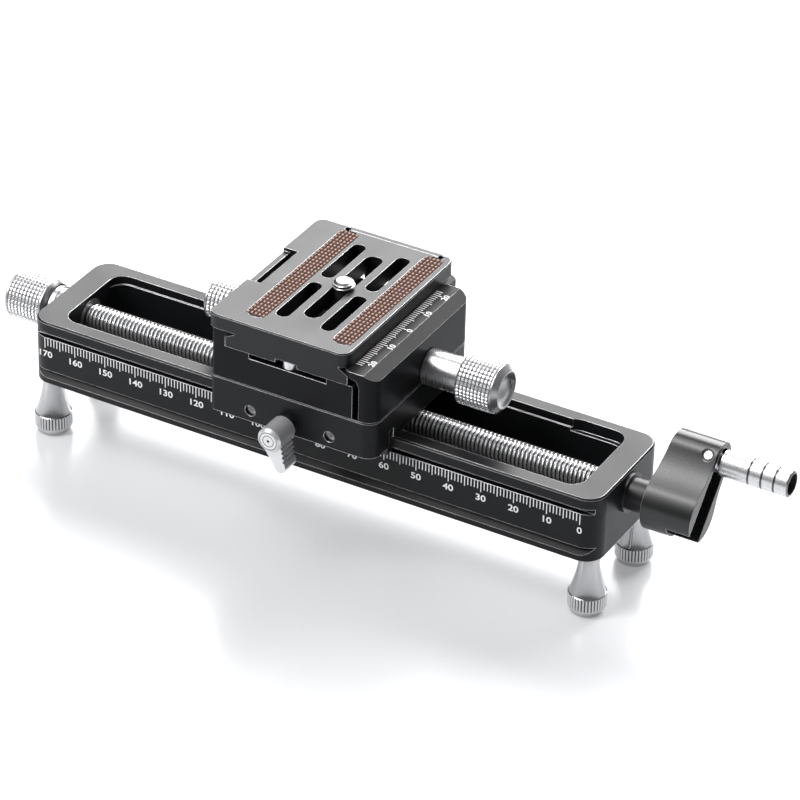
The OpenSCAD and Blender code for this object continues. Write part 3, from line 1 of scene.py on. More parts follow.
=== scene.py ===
"""Looks of the macro focusing rail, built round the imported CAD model.

Where no comment says otherwise, lengths are in millimetres on working axes: x along the rail
towards the crank with zero at the rail's middle, y to the back with zero at its centre line,
z up from its top. at() turns such a point into metres in the CAD frame. A CAD node whose
shape is right keeps it and gets a better material. The lead screw, the camera screw, the
knurled knobs, the feet and the rubber strips are replaced by fuller pieces.
"""

import math

import bmesh
import bpy
from mathutils import Matrix, Vector


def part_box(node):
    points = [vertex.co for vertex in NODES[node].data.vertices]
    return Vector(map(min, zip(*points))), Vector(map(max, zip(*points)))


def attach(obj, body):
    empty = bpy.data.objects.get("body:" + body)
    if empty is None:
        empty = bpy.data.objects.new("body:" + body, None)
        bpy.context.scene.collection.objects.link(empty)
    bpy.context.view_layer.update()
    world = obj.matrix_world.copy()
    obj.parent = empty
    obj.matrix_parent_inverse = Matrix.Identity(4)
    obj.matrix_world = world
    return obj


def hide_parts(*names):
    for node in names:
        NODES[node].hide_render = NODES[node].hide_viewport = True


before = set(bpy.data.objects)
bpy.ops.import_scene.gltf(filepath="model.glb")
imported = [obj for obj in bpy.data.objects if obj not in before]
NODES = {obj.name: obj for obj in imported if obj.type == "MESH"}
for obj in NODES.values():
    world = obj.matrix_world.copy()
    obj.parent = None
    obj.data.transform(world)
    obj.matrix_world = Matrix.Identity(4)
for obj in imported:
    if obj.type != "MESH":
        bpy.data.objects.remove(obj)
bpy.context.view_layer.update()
scene = bpy.context.scene

MM_PER_M = 1000
rail_low, rail_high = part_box("rail_body")
rail_middle = (rail_low + rail_high) / 2
SHIFT = Vector((rail_middle.x, rail_middle.y, rail_high.z)) * MM_PER_M


def at(x, y, z):
    """A point in millimetres on the working axes, as metres in the CAD frame."""
    return (Vector((x, y, z)) + SHIFT) / MM_PER_M


def corners(node):
    """A CAD node's lowest and highest corners, in millimetres on the working axes."""
    return [Vector(corner) * MM_PER_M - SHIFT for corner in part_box(node)]


def middle(node):
    """The middle of a CAD node's box, in millimetres on the working axes."""
    low, high = corners(node)
    return (low + high) / 2


# Places and sizes that several sections share
RAIL_FRONT = corners("rail_body")[0].y
RAIL_BOTTOM = corners("rail_body")[0].z
AXIS_Z = middle("lead_screw").z
SPINDLE_Z = middle("clamp_spindle").z
CAMERA_SCREW = middle("camera_screw")
LEAD_PITCH, LEAD_CREST, LEAD_ROOT = 1.25, 4.0, 3.05
DRIVE_KNOB_R, CLAMP_KNOB_R, SMALL_KNOB_R = 7.0, 7.2, 5.6
FOOT_X, FOOT_Y = 86, 14
FEET = {"front_left": (-FOOT_X, -FOOT_Y), "front_right": (FOOT_X, -FOOT_Y),
        "rear_left": (-FOOT_X, FOOT_Y), "rear_right": (FOOT_X, FOOT_Y)}
STRIP_RELIEF = 0.5
STRIP_TOP = corners("strip_left")[1].z
STRIP_BED = STRIP_TOP - STRIP_RELIEF

# Camera, fitted to the ticks of the rail's scale and to straight edges in the photograph
AZIMUTH = math.radians(28.715)
ELEVATION = math.radians(32.508)
ROLL = math.radians(1.567)
LENS, SENSOR_WIDTH = 194.79, 36
CAMERA_AIM = (20.109, -1.833, 0)
CAMERA_DISTANCE = 1186.003
CLIP_NEAR, CLIP_FAR = 0.05, 50      # metres

# Lights, each with its place from LIGHT_AIM in metres, its width and height in metres and
# its power in watts
LIGHT_AIM = (5, 0, 0)
LIGHTS = {
    "back_box": ((-0.30, 1.86, 1.30), 2.6, 1.6, 124),
    "top_box": ((-0.35, -0.15, 1.1), 0.7, 0.5, 5),
    "front_box": ((-0.75, -0.75, 0.55), 0.5, 0.5, 2.5),
    "bevel_box": ((-0.45, -0.52, 0.86), 0.40, 0.85, 6.0),
}

# The studio's walls as stops of a ramp from straight down, 0, to straight up, 1
WORLD_LOW = (0.5, (0.30, 0.31, 0.32))
WORLD_MIDDLE = (0.62, (0.75, 0.76, 0.78))
WORLD_HIGH = (0.95, (0.95, 0.96, 0.98))
WORLD_STRENGTH = 0.20

# The floor: half its width in metres, its two tones, its surface and its patches in a metre
FLOOR_HALF = 6.0
FLOOR_DARK = (0.53, 0.54, 0.56)
FLOOR_LIGHT = (0.57, 0.58, 0.595)
FLOOR_ROUGHNESS, FLOOR_SPECULAR, FLOOR_GLOW = 0.22, 0.4, 0.26
FLOOR_PATCHES = 3


# Node helpers

def feed(tree, node, inputs):
    """Sets a node's inputs, each from a constant or from another node's output."""
    for key, value in inputs.items():
        if isinstance(value, bpy.types.NodeSocket):
            tree.links.new(value, node.inputs[key])
        else:
            node.inputs[key].default_value = value


def add_node(tree, kind, inputs, operation=None):
    """Adds a shader node of a kind, with its operation where it has one, and feeds it."""
    node = tree.nodes.new("ShaderNode" + kind)
    if operation:
        node.operation = operation
    feed(tree, node, inputs)
    return node


def set_ramp(ramp, first, last, between=None):
    """Sets a colour ramp's two ends and one stop between, each as (position, colour)."""
    elements = ramp.color_ramp.elements
    for index, (position, colour) in enumerate((first, last)):
        elements[index].position = position
        elements[index].color = (*colour, 1)
    if between:
        position, colour = between
        elements.new(position).color = (*colour, 1)


# Camera and light

def make_camera():
    data = bpy.data.cameras.new("camera")
    data.lens = LENS
    data.sensor_width = SENSOR_WIDTH
    data.clip_start, data.clip_end = CLIP_NEAR, CLIP_FAR
    camera = bpy.data.objects.new("camera", data)
    scene.collection.objects.link(camera)
    back = Vector((math.sin(AZIMUTH) * math.cos(ELEVATION),
                   -math.cos(AZIMUTH) * math.cos(ELEVATION), math.sin(ELEVATION)))
    right = Vector((math.cos(AZIMUTH), math.sin(AZIMUTH), 0))
    up = back.cross(right)
    rolled_right = right * math.cos(ROLL) + up * math.sin(ROLL)
    rolled_up = up * math.cos(ROLL) - right * math.sin(ROLL)
    place = Matrix((rolled_right, rolled_up, back)).transposed().to_4x4()
    place.translation = at(*CAMERA_AIM) + back * CAMERA_DISTANCE / MM_PER_M
    camera.matrix_world = place
    scene.camera = camera


def make_lights():
    aim = at(*LIGHT_AIM)
    for name, (offset, width, height, power) in LIGHTS.items():
        data = bpy.data.lights.new(name, "AREA")
        data.energy = power
        data.shape = "RECTANGLE"
        data.size, data.size_y = width, height
        lamp = bpy.data.objects.new(name, data)
        scene.collection.objects.link(lamp)
        lamp.location = aim + Vector(offset)
        lamp.rotation_mode = "QUATERNION"
        lamp.rotation_quaternion = (-Vector(offset)).to_track_quat("-Z", "Y")


def make_world():
    world = bpy.data.worlds.new("studio")
    scene.world = world
    world.use_nodes = True
    tree = world.node_tree
    coords = add_node(tree, "TexCoord", {})
    split = add_node(tree, "SeparateXYZ", {0: coords.outputs["Generated"]})
    rise = add_node(tree, "MapRange", {"Value": split.outputs["Z"], "From Min": -1,
                                       "From Max": 1})
    ramp = add_node(tree, "ValToRGB", {0: rise.outputs[0]})
    set_ramp(ramp, WORLD_LOW, WORLD_HIGH, WORLD_MIDDLE)
    feed(tree, tree.nodes["Background"], {"Color": ramp.outputs[0],
                                          "Strength": WORLD_STRENGTH})


def make_floor():
    mesh = bpy.data.meshes.new("floor")
    half = FLOOR_HALF
    mesh.from_pydata([(-half, -half, 0), (half, -half, 0), (half, half, 0), (-half, half, 0)],
                     [], [(0, 1, 2, 3)])
    floor = bpy.data.objects.new("floor", mesh)
    scene.collection.objects.link(floor)
    material = bpy.data.materials.new("floor")
    material.use_nodes = True
    tree = material.node_tree
    coords = add_node(tree, "TexCoord", {})
    noise = add_node(tree, "TexNoise", {"Vector": coords.outputs["Object"],
                                        "Scale": FLOOR_PATCHES})
    ramp = add_node(tree, "ValToRGB", {0: noise.outputs["Fac"]})
    set_ramp(ramp, (0, FLOOR_DARK), (1, FLOOR_LIGHT))
    feed(tree, tree.nodes["Principled BSDF"], {
        "Base Color": ramp.outputs[0], "Roughness": FLOOR_ROUGHNESS,
        "Specular IOR Level": FLOOR_SPECULAR, "Emission Color": (1, 1, 1, 1),
        "Emission Strength": FLOOR_GLOW})
    mesh.materials.append(material)


def make_stage():
    make_camera()
    make_world()
    make_floor()
    make_lights()
    scene.view_settings.view_transform = "Standard"
    scene.view_settings.look = "None"


# Materials

MATERIALS = {}
GRAIN_LOW, GRAIN_HIGH = 0.3, 0.7            # the noise's usual range
BROAD_DETAIL, FINE_DETAIL = 4, 3            # octaves of the two noises
SMOOTHEST = 0.02                            # the least roughness
BEVEL_SAMPLES = 6
EDGE_HIGHLIGHT_TONE = (0.8, 0.8, 0.82, 1)             # painted highlight along edges, as bright bare metal
EDGE_FROM, EDGE_TO = 0.01, 0.07             # how far the rounded normal turns at an edge
MIX_FIRST, MIX_SECOND, MIX_RESULT = 6, 7, 2  # the colour sockets of a mix node
ABOUT_X, ABOUT_Z = (0, 1, 1), (1, 1, 0)     # what is kept to measure a radius about an axis

# Radii between which the painted shade of a groove fades out, from its floor to its crest
LEAD_GROOVE_SHADE = (3.2, 3.6)
CAMERA_GROOVE_SHADE = (2.62, 2.95)
GRIP_GROOVE_SHADE = (3.5, 3.77)
FOOT_GROOVE_SHADE = (5.05, 5.3)
KNURL_SHADE_DEEP, KNURL_SHADE_SHALLOW = 0.34, 0.12      # the same on a knob, as depths below its radius


def fade(tree, colour, measure, low, high, share):
    """Scales a colour from share where the measure is low to whole where it is high."""
    climb = add_node(tree, "MapRange", {"Value": measure, "From Min": low, "From Max": high,
                                        "To Min": share})
    scaled = add_node(tree, "VectorMath", {0: colour, "Scale": climb.outputs[0]}, "SCALE")
    return scaled.outputs["Vector"], climb


def darken_grooves(tree, colour, coords, groove):
    """Paints shade on what lies deep about an axis, as the shade in its grooves. groove is
    what is kept of a point to measure its radius, the axis's place, the (floor, crest) radii
    and the share left at the floor."""
    kept, centre, (floor, crest), share = groove
    offset = add_node(tree, "VectorMath", {0: coords, 1: centre}, "SUBTRACT")
    across = add_node(tree, "VectorMath", {0: offset.outputs["Vector"], 1: kept}, "MULTIPLY")
    radius = add_node(tree, "VectorMath", {0: across.outputs["Vector"]}, "LENGTH")
    colour, climb = fade(tree, colour, radius.outputs["Value"], floor / MM_PER_M,
                         crest / MM_PER_M, share)
    climb.interpolation_type = "SMOOTHSTEP"
    return colour


def wear_edges(tree, colour, metallic, edge, bevel):
    """Paints a highlight along edges: mixes bright bare metal in where the rounded normal
    leaves the true one, and gives the colour and the metallic value."""
    geometry = add_node(tree, "NewGeometry", {})
    turn = add_node(tree, "VectorMath", {0: bevel.outputs["Normal"],
                                         1: geometry.outputs["Normal"]}, "DOT_PRODUCT")
    away = add_node(tree, "Math", {0: 1, 1: turn.outputs["Value"]}, "SUBTRACT")
    highlight_share = add_node(tree, "MapRange", {"Value": away.outputs[0], "From Min": EDGE_FROM,
                                       "From Max": EDGE_TO, "To Max": edge})
    highlight_share.interpolation_type = "SMOOTHSTEP"
    highlighted = add_node(tree, "Mix", {})
    highlighted.data_type = "RGBA"
    feed(tree, highlighted, {"Factor": highlight_share.outputs[0], MIX_FIRST: colour, MIX_SECOND: EDGE_HIGHLIGHT_TONE})
    shine = add_node(tree, "MapRange", {"Value": highlight_share.outputs[0], "To Min": metallic,
                                        "To Max": 1})
    return highlighted.outputs[MIX_RESULT], shine.outputs[0]


def new_material(look, name, base, metallic, roughness, tone=0.12, broad=60, fine=2500,
                 bump=0.15, depth=0.02, spread=0.08, edge=None, edge_radius=0.22, lines=None,
                 specular=0.5, seed=0.0, rise=None, rounded=True, groove=None):
    """Files under a look a surface with broad and fine variation of colour and roughness,
    fine bump, rounded edges, and where edge is set a painted highlight along the edges, as
    bright bare metal. tone and spread are how far colour and roughness vary, depth and
    edge_radius are in millimetres. lines stretches the fine grain along one axis, as turning
    marks. rise paints shade on what lies low, darker towards the bottom: the lower and upper
    height in metres and the share of the colour left at the bottom. rounded is off for knurls
    and threads, whose own small faces carry the light. groove is for darken_grooves,
    which paints shade in grooves."""
    material = bpy.data.materials.new(name)
    material.use_nodes = True
    tree = material.node_tree
    shader = tree.nodes["Principled BSDF"]
    feed(tree, shader, {"Metallic": metallic, "Specular IOR Level": specular})
    coords = add_node(tree, "TexCoord", {}).outputs["Object"]
    place = add_node(tree, "Mapping", {
        "Vector": coords, "Location": (seed, seed * 0.7, seed * 1.3)}).outputs["Vector"]
    grain = add_node(tree, "Mapping", {
        "Vector": place, "Scale": lines or (1, 1, 1)}).outputs["Vector"]
    wide = add_node(tree, "TexNoise", {"Vector": place, "Scale": broad,
                                       "Detail": BROAD_DETAIL})
    small = add_node(tree, "TexNoise", {"Vector": grain, "Scale": fine,
                                        "Detail": FINE_DETAIL})
    half = add_node(tree, "Math", {0: wide.outputs["Fac"], 1: 0.5}, "MULTIPLY")
    mixed = add_node(tree, "Math", {0: small.outputs["Fac"], 1: 0.5, 2: half.outputs[0]},
                     "MULTIPLY_ADD").outputs[0]

    ramp = add_node(tree, "ValToRGB", {0: mixed})
    set_ramp(ramp, (GRAIN_LOW, [c * (1 - tone) for c in base]),
             (GRAIN_HIGH, [min(1, c * (1 + tone)) for c in base]))
    colour = ramp.outputs[0]
    # Painted shade: darker towards the bottom, by height
    if rise:
        height = add_node(tree, "SeparateXYZ", {0: coords})
        colour, _ = fade(tree, colour, height.outputs["Z"], *rise)
    # Painted shade in grooves: darker towards the axis
    if groove:
        colour = darken_grooves(tree, colour, coords, groove)

    rough = add_node(tree, "MapRange", {
        "Value": mixed, "From Min": GRAIN_LOW, "From Max": GRAIN_HIGH,
        "To Min": max(SMOOTHEST, roughness - spread), "To Max": min(1, roughness + spread)})
    relief = add_node(tree, "Bump", {"Strength": bump, "Distance": depth / MM_PER_M,
                                     "Height": small.outputs["Fac"]})
    if rounded:
        bevel = add_node(tree, "Bevel", {"Radius": edge_radius / MM_PER_M})
        bevel.samples = BEVEL_SAMPLES
        feed(tree, relief, {"Normal": bevel.outputs["Normal"]})
        # Painted highlight: bright bare metal mixed in along the edges
        if edge:
            colour, highlight_metallic = wear_edges(tree, colour, metallic, edge, bevel)
            feed(tree, shader, {"Metallic": highlight_metallic})
    feed(tree, shader, {"Base Color": colour, "Roughness": rough.outputs[0],
                        "Normal": relief.outputs["Normal"]})
    MATERIALS[look] = material


def make_dark_materials():
    black = (0.009, 0.0095, 0.0105)
    softer_black = (0.012, 0.0125, 0.0135)
    # edge sets how strongly a highlight is painted along each part's edges, as bright bare
    # metal
    new_material("rail", "anodised_rail", black, 0.0, 0.36, edge=0.95, edge_radius=0.26,
                 specular=0.19, bump=0.08)
    new_material("saddle", "anodised_saddle", black, 0.0, 0.36, edge=0.95, edge_radius=0.3,
                 specular=0.18, seed=0.3)
    new_material("block", "anodised_block", black, 0.0, 0.36, edge=0.9, edge_radius=0.22,
                 specular=0.09, bump=0.08, seed=0.6)
    new_material("plate", "anodised_plate", softer_black, 0.0, 0.38, edge=0.9,
                 edge_radius=0.24, specular=0.27, bump=0.08, seed=0.9)
    new_material("crank", "anodised_crank", (0.012, 0.0125, 0.013), 0.0, 0.28, edge=0.6,
                 edge_radius=0.3, specular=0.62, bump=0.03, spread=0.03, seed=1.2)
    new_material("oxide", "black_oxide", (0.018, 0.018, 0.02), 0.3, 0.35, edge=0.3,
                 edge_radius=0.1, seed=1.5)
    new_material("hollow", "handle_end", (0.02, 0.02, 0.022), 0.2, 0.42, edge_radius=0.1,
                 seed=3.9)
    # Painted shade on the rubber: darker towards the bed between the pyramids, down to 0.12
    # of its colour
    gap = 0.05
    low, high = at(0, 0, STRIP_BED + gap).z, at(0, 0, STRIP_TOP - gap).z
    new_material("rubber", "grip_rubber", (0.33, 0.185, 0.145), 0.0, 0.55, tone=0.2,
                 broad=400, fine=4000, bump=0.35, depth=0.03, edge_radius=0.06,
                 specular=0.3, seed=3.3, rise=(low, high, 0.12))


def make_bright_materials():
    polish = {"tone": 0.03, "bump": 0.02, "spread": 0.03}
    turned_about_x = {"tone": 0.02, "bump": 0.02, "spread": 0.03, "fine": 1500,
                      "lines": (5, 0.1, 0.1), "edge_radius": 0.12}
    cut_thread = {"tone": 0.03, "bump": 0.01, "spread": 0.03, "rounded": False}
    new_material("silver", "silver_aluminium", (0.76, 0.76, 0.77), 0.62, 0.30,
                 edge_radius=0.12, seed=1.8, **polish)
    # Painted glint: a near-white, mostly plain face for the gib screws, lighter than their
    # steel, standing in for the light they catch in their shaded holes
    new_material("screw_painted_glint", "screw_painted_glint", (0.88, 0.88, 0.89), 0.25, 0.32, tone=0.03,
                 edge_radius=0.08, bump=0.03, spread=0.03, seed=4.8)
    new_material("turned_x", "silver_turned_x", (0.52, 0.52, 0.53), 0.84, 0.28, seed=2.1,
                 **turned_about_x)
    # groove paints shade in the grooves of the grip, the knurled bands, the feet's bands and
    # the threads, darker towards each axis
    new_material("grip", "silver_grip", (0.74, 0.74, 0.75), 0.80, 0.27, seed=2.2,
                 groove=(ABOUT_X, at(*middle("handle_grip")), GRIP_GROOVE_SHADE, 0.2),
                 **turned_about_x)
    for look, z, radius in (("knurled_drive", AXIS_Z, DRIVE_KNOB_R),
                            ("knurled_clamp", SPINDLE_Z, CLAMP_KNOB_R),
                            ("knurled_small", SPINDLE_Z, SMALL_KNOB_R)):
        dark = (radius - KNURL_SHADE_DEEP, radius - KNURL_SHADE_SHALLOW)
        new_material(look, "silver_" + look, (0.82, 0.82, 0.83), 0.70, 0.27, seed=4.2,
                     rounded=False, groove=(ABOUT_X, at(0, 0, z), dark, 0.3), **polish)
    for foot, (x, y) in FEET.items():
        new_material("foot_" + foot, "silver_foot_" + foot, (0.51, 0.51, 0.52), 0.97, 0.18,
                     fine=1500, lines=(0.1, 0.1, 5), seed=2.4, **polish)
        new_material("foot_band_" + foot, "silver_foot_band_" + foot, (0.62, 0.62, 0.63),
                     0.85, 0.24, seed=2.7, rounded=False,
                     groove=(ABOUT_Z, at(x, y, 0), FOOT_GROOVE_SHADE, 0.25), **polish)
    new_material("thread", "steel_thread", (0.90, 0.90, 0.91), 0.80, 0.24, seed=4.5,
                 groove=(ABOUT_X, at(0, 0, AXIS_Z), LEAD_GROOVE_SHADE, 0.12), **cut_thread)
    new_material("camera_thread", "steel_camera_thread", (0.86, 0.86, 0.87), 0.85, 0.24,
                 seed=4.6, groove=(ABOUT_Z, at(*CAMERA_SCREW), CAMERA_GROOVE_SHADE, 0.2),
                 **cut_thread)
    new_material("steel", "bright_steel", (0.68, 0.68, 0.70), 0.9, 0.28, tone=0.06,
                 edge_radius=0.08, bump=0.1, seed=2.7)
    new_material("brass", "nut_brass", (0.75, 0.55, 0.25), 1.0, 0.32, tone=0.08,
                 edge_radius=0.1, seed=3.0)
    new_material("paint", "scale_paint", (0.93, 0.935, 0.94), 0.0, 0.5, tone=0.05,
                 broad=700, fine=5000, bump=0.2, depth=0.01, edge_radius=0.01, seed=3.6)


LOOK_NODES = {
    "rail": ("rail_body",),
    "saddle": ("saddle", "nut_block"),
    "block": ("clamp_block", "movable_jaw"),
    "plate": ("plate", "anti_twist_lip"),
    "crank": ("crank_arm",),
    "oxide": ("knob_ring_black", "knob_grub", "crank_sleeve", "crank_bolt", "camera_washer",
              "front_gib", "rear_gib", "lock_screw", "lock_collar_dark", "bush_right"),
    "hollow": ("handle_end_screw",),
    "turned_x": ("bush_left", "drive_knob", "clamp_knob", "small_knob"),
    "grip": ("handle_grip",),
    "silver": ("lock_lever",),
    "brass": ("drive_nut",),
    "rubber": ("strip_left", "strip_right"),
}
NODE_LOOK = {node: look for look, nodes in LOOK_NODES.items() for node in nodes}
FAMILY_LOOK = {"nut_screw": "oxide", "block_screw": "oxide", "gib_screw": "screw_painted_glint"}


def look_of(node):
    """The look of a CAD node: its own, that of its family, or plain steel."""
    if node in NODE_LOOK:
        return NODE_LOOK[node]
    if node.startswith("foot_"):
        return node
    for family, look in FAMILY_LOOK.items():
        if node.startswith(family):
            return look
    return "steel"


def dress_nodes():
    for name, obj in NODES.items():
        obj.data.materials.clear()
        obj.data.materials.append(MATERIALS[look_of(name)])


# Mesh helpers

def add_piece(name, verts, faces, look, body, stands_for=(), sharp=30):
    """Adds a smooth piece that rides on a body; edges over sharp degrees stay sharp. It
    takes its finish from look and replaces the CAD nodes it stands for."""
    mesh = bpy.data.meshes.new(name)
    mesh.from_pydata([tuple(v) for v in verts], [], faces)
    made = bmesh.new()
    made.from_mesh(mesh)
    bmesh.ops.recalc_face_normals(made, faces=made.faces)
    made.to_mesh(mesh)
    made.free()
    mesh.shade_smooth()
    mesh.set_sharp_from_angle(angle=math.radians(sharp))
    mesh.materials.append(MATERIALS[look])
    obj = bpy.data.objects.new(name, mesh)
    scene.collection.objects.link(obj)
    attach(obj, body)
    if stands_for:
        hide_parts(*stands_for)
    return obj


def dress_band(obj, look, axis, low, high):
    """Gives the faces between low and high along an axis, in metres, their own surface."""
    obj.data.materials.append(MATERIALS[look])
    for face in obj.data.polygons:
        if low < face.center[axis] < high:
            face.material_index = 1


def turned(rows, steps, place, shape=None):
    """A closed turned body. rows are (along, radius) pairs; shape(along, angle, radius)
    may change the radius; place(along, across, up) gives the point in metres."""
    verts, faces = [], []
    for along, radius in rows:
        for k in range(steps):
            angle = 2 * math.pi * k / steps
            r = shape(along, angle, radius) if shape else radius
            verts.append(place(along, r * math.cos(angle), r * math.sin(angle)))
    for i in range(len(rows) - 1):
        here, beyond = i * steps, (i + 1) * steps
        for k in range(steps):
            j = (k + 1) % steps
            faces.append((here + k, here + j, beyond + j, beyond + k))
    for i in (0, len(rows) - 1):
        centre = len(verts)
        verts.append(place(rows[i][0], 0, 0))
        for k in range(steps):
            faces.append((i * steps + k, i * steps + (k + 1) % steps, centre))
    return verts, faces


def along_x(y, z):
    return lambda along, across, up: at(along, y + across, z + up)


def along_z(x, y):
    return lambda along, across, up: at(x + across, y + up, along)


def spaced(low, high, count):
    return [low + (high - low) * i / count for i in range(count + 1)]


def stepped(origin, radius, steps):
    """Profile rows from (distance, step) pairs: how far along from an origin, and how much
    the radius there differs from radius."""
    return [(origin + distance, radius + step) for distance, step in steps]


def zigzag(value):
    """0 at whole numbers and 1 half way between them."""
    part = value - math.floor(value)
    return 1 - abs(2 * part - 1)


def knurl(count, pitch, depth, low, high):
    """Knurl between low and high: grooves along and around that leave small pyramids."""
    slack = 1e-6
    flat_top = 0.5

    def shape(along, angle, radius):
        if not low - slack <= along <= high + slack:
            return radius
        around = zigzag(count * angle / (2 * math.pi) + 0.5)
        step = zigzag((along - low) / pitch)
        return radius - depth * (1 - min(around, step, flat_top) / flat_top)
    return shape


# Threaded screws

THREAD_GAP = 0.02       # between a plain end and the first row of a thread


def thread_height(along, angle, pitch):
    """0 in the groove and 1 on the crest of a right-hand thread."""
    phase = (along / pitch - angle / (2 * math.pi)) % 1
    return 0.5 - 0.5 * math.cos(2 * math.pi * phase)


def make_lead_screw():
    """The lead screw: a thread between two plain ends."""
    low, high = (corner.x for corner in corners("lead_screw"))
    thread_end, run_out, roundness = 81.95, 1.2, 0.9
    shaft_r, rim = 3.0, 0.3
    rows_per_pitch, steps = 8, 72

    def shape(along, angle, radius):
        if abs(along) > thread_end - THREAD_GAP / 2:
            return radius
        height = thread_height(along, angle, LEAD_PITCH) ** roundness
        lead = min(1, (thread_end - abs(along)) / run_out)
        return LEAD_ROOT + (LEAD_CREST - LEAD_ROOT) * height * lead

    count = int(2 * thread_end / LEAD_PITCH * rows_per_pitch)
    rows = [(low, shaft_r - rim), (low + rim, shaft_r), (-thread_end, shaft_r),
            (-thread_end, LEAD_ROOT)]
    rows += [(along, LEAD_CREST)
             for along in spaced(-thread_end + THREAD_GAP, thread_end - THREAD_GAP, count)]
    rows += [(thread_end, LEAD_ROOT), (thread_end, shaft_r), (high, shaft_r)]
    verts, faces = turned(rows, steps, along_x(0, AXIS_Z), shape)
    add_piece("lead_screw_thread", verts, faces, "thread", "drive",
              ["lead_screw"], sharp=60)


def make_camera_screw():
    """The camera screw: a round head under the plate and a thread with a pointed tip."""
    low, top = (corner.z for corner in corners("camera_screw"))
    start, crest, root, pitch = 28.62, 3.175, 2.45, 1.0
    head_r, head_height, head_rim, socket_r = 5.8, 2.4, 0.2, 4.2
    tip, tip_height, tip_fade, start_fade = 0.3, 0.4, 0.4, 0.2
    point = ((-0.3, 0.15), (-0.02, -0.3), (0, -0.45), (-0.08, -1.55))
    rows_in_thread, steps = 40, 64
    head_top = low + head_height

    def shape(along, angle, radius):
        if radius < crest - THREAD_GAP / 2:
            return radius
        lead = min(1, tip_height + max(0, (top - tip - along) / tip_fade),
                   max(0, (along - start) / start_fade))
        return root + (crest - root) * thread_height(along, angle, pitch) * lead

    rows = [(low, socket_r), (low, head_r - head_rim), (low + head_rim, head_r),
            (head_top - head_rim, head_r), (head_top, head_r - head_rim), (head_top, root),
            (start - THREAD_GAP, root)]
    rows += [(along, crest) for along in spaced(start, top - tip, rows_in_thread)]
    rows += stepped(top, root, point)
    place = along_z(CAMERA_SCREW.x, CAMERA_SCREW.y)
    verts, faces = turned(rows, steps, place, shape)
    add_piece("camera_screw_thread", verts, faces, "camera_thread", "camera_screw_body",
              ["camera_screw"], sharp=45)


# Knobs

BAND_LIP = 0.05         # plain metal next to a knurled band


def add_knob(node, look, body, z, before, band, after, radius, count, cells, depth):
    """A knob turned about x: its profile before the knurled band, the band, and the profile
    after it. The band has count grooves round it and cells from end to end."""
    steps_per_groove, rows_per_cell = 8, 8
    low, high = band
    rows = before + [(low - BAND_LIP, radius)]
    rows += [(along, radius) for along in spaced(low, high, cells * rows_per_cell)] + after
    verts, faces = turned(rows, steps_per_groove * count, along_x(0, z),
                          knurl(count, (high - low) / cells, depth, low, high))
    knob = add_piece(node + "_knurled", verts, faces, "turned_x", body,
                     [node], sharp=35)
    dress_band(knob, look, 0, at(low, 0, 0).x, at(high, 0, 0).x)


def make_drive_knob():
    """The knob at the lead screw's left end, with a dished outer face."""
    low, high = (corner.x for corner in corners("drive_knob"))
    radius, margin, outer_rim, inner_rim = DRIVE_KNOB_R, 1.3, 0.8, 0.7
    dish_r, dish = 4.9, ((0.55, -1.3), (0.25, -0.5), (0, 0))
    band = (low + margin, high - margin)
    before = stepped(low, dish_r, dish)
    before += [(low, radius - outer_rim), (low + outer_rim, radius)]
    after = [(band[1] + BAND_LIP, radius), (high - inner_rim, radius),
             (high, radius - inner_rim)]
    add_knob("drive_knob", "knurled_drive", "drive", AXIS_Z, before, band, after, radius,
             count=36, cells=9, depth=0.36)


def make_clamp_knob():
    """The clamp's knob: polished neck, knurled band, bevelled rim and dished end."""
    low, end = (corner.x for corner in corners("clamp_knob"))
    radius, neck_r, dish_r = CLAMP_KNOB_R, 5.2, 5.25
    neck_gap, head, nose = 0.01, 39.2, 50.2
    head_margin, nose_margin = 0.55, 0.35
    neck_rim = ((0, -0.3), (0.15, 0))
    neck_fillet = ((-0.25, 0), (-0.05, 0.15), (0, 0.4))
    head_rim = ((0, -0.55), (0.45, 0))
    nose_rim = ((0, -0.3), (0.12, -0.12))
    dish = ((0, 0.2), (0, 0), (-0.3, -0.5), (-0.75, -1.15), (-1.0, -1.85), (-1.15, -3.25),
            (-1.18, -4.65))
    band_end = (0.03, -0.32)
    band = (head + head_margin, nose - nose_margin)
    before = stepped(low + neck_gap, neck_r, neck_rim) + stepped(head, neck_r, neck_fillet)
    before += stepped(head, radius, head_rim)
    after = stepped(band[1], radius, [band_end]) + stepped(nose, radius, nose_rim)
    after += stepped(end, dish_r, dish)
    add_knob("clamp_knob", "knurled_clamp", "clamp_screw", SPINDLE_Z, before, band, after,
             radius, count=36, cells=9, depth=0.4)


def make_small_knob():
    """The knob at the clamp spindle's other end, with a collar towards the clamp."""
    low, collar_end = (corner.x for corner in corners("small_knob"))
    radius, margin, rim, bore_r = SMALL_KNOB_R, 1.0, 0.7, 2.2
    collar_r, collar_length, collar_rim = 3.8, 2.0, 0.2
    high = collar_end - collar_length
    band = (low + margin, high - margin)
    before = [(low, bore_r), (low, radius - rim), (low + rim, radius)]
    after = [(band[1] + BAND_LIP, radius), (high - rim, radius), (high, radius - rim),
             (high, collar_r), (collar_end - collar_rim, collar_r),
             (collar_end, collar_r - collar_rim)]
    add_knob("small_knob", "knurled_small", "clamp_screw", SPINDLE_Z, before, band, after,
             radius, count=28, cells=7, depth=0.34)


# Feet

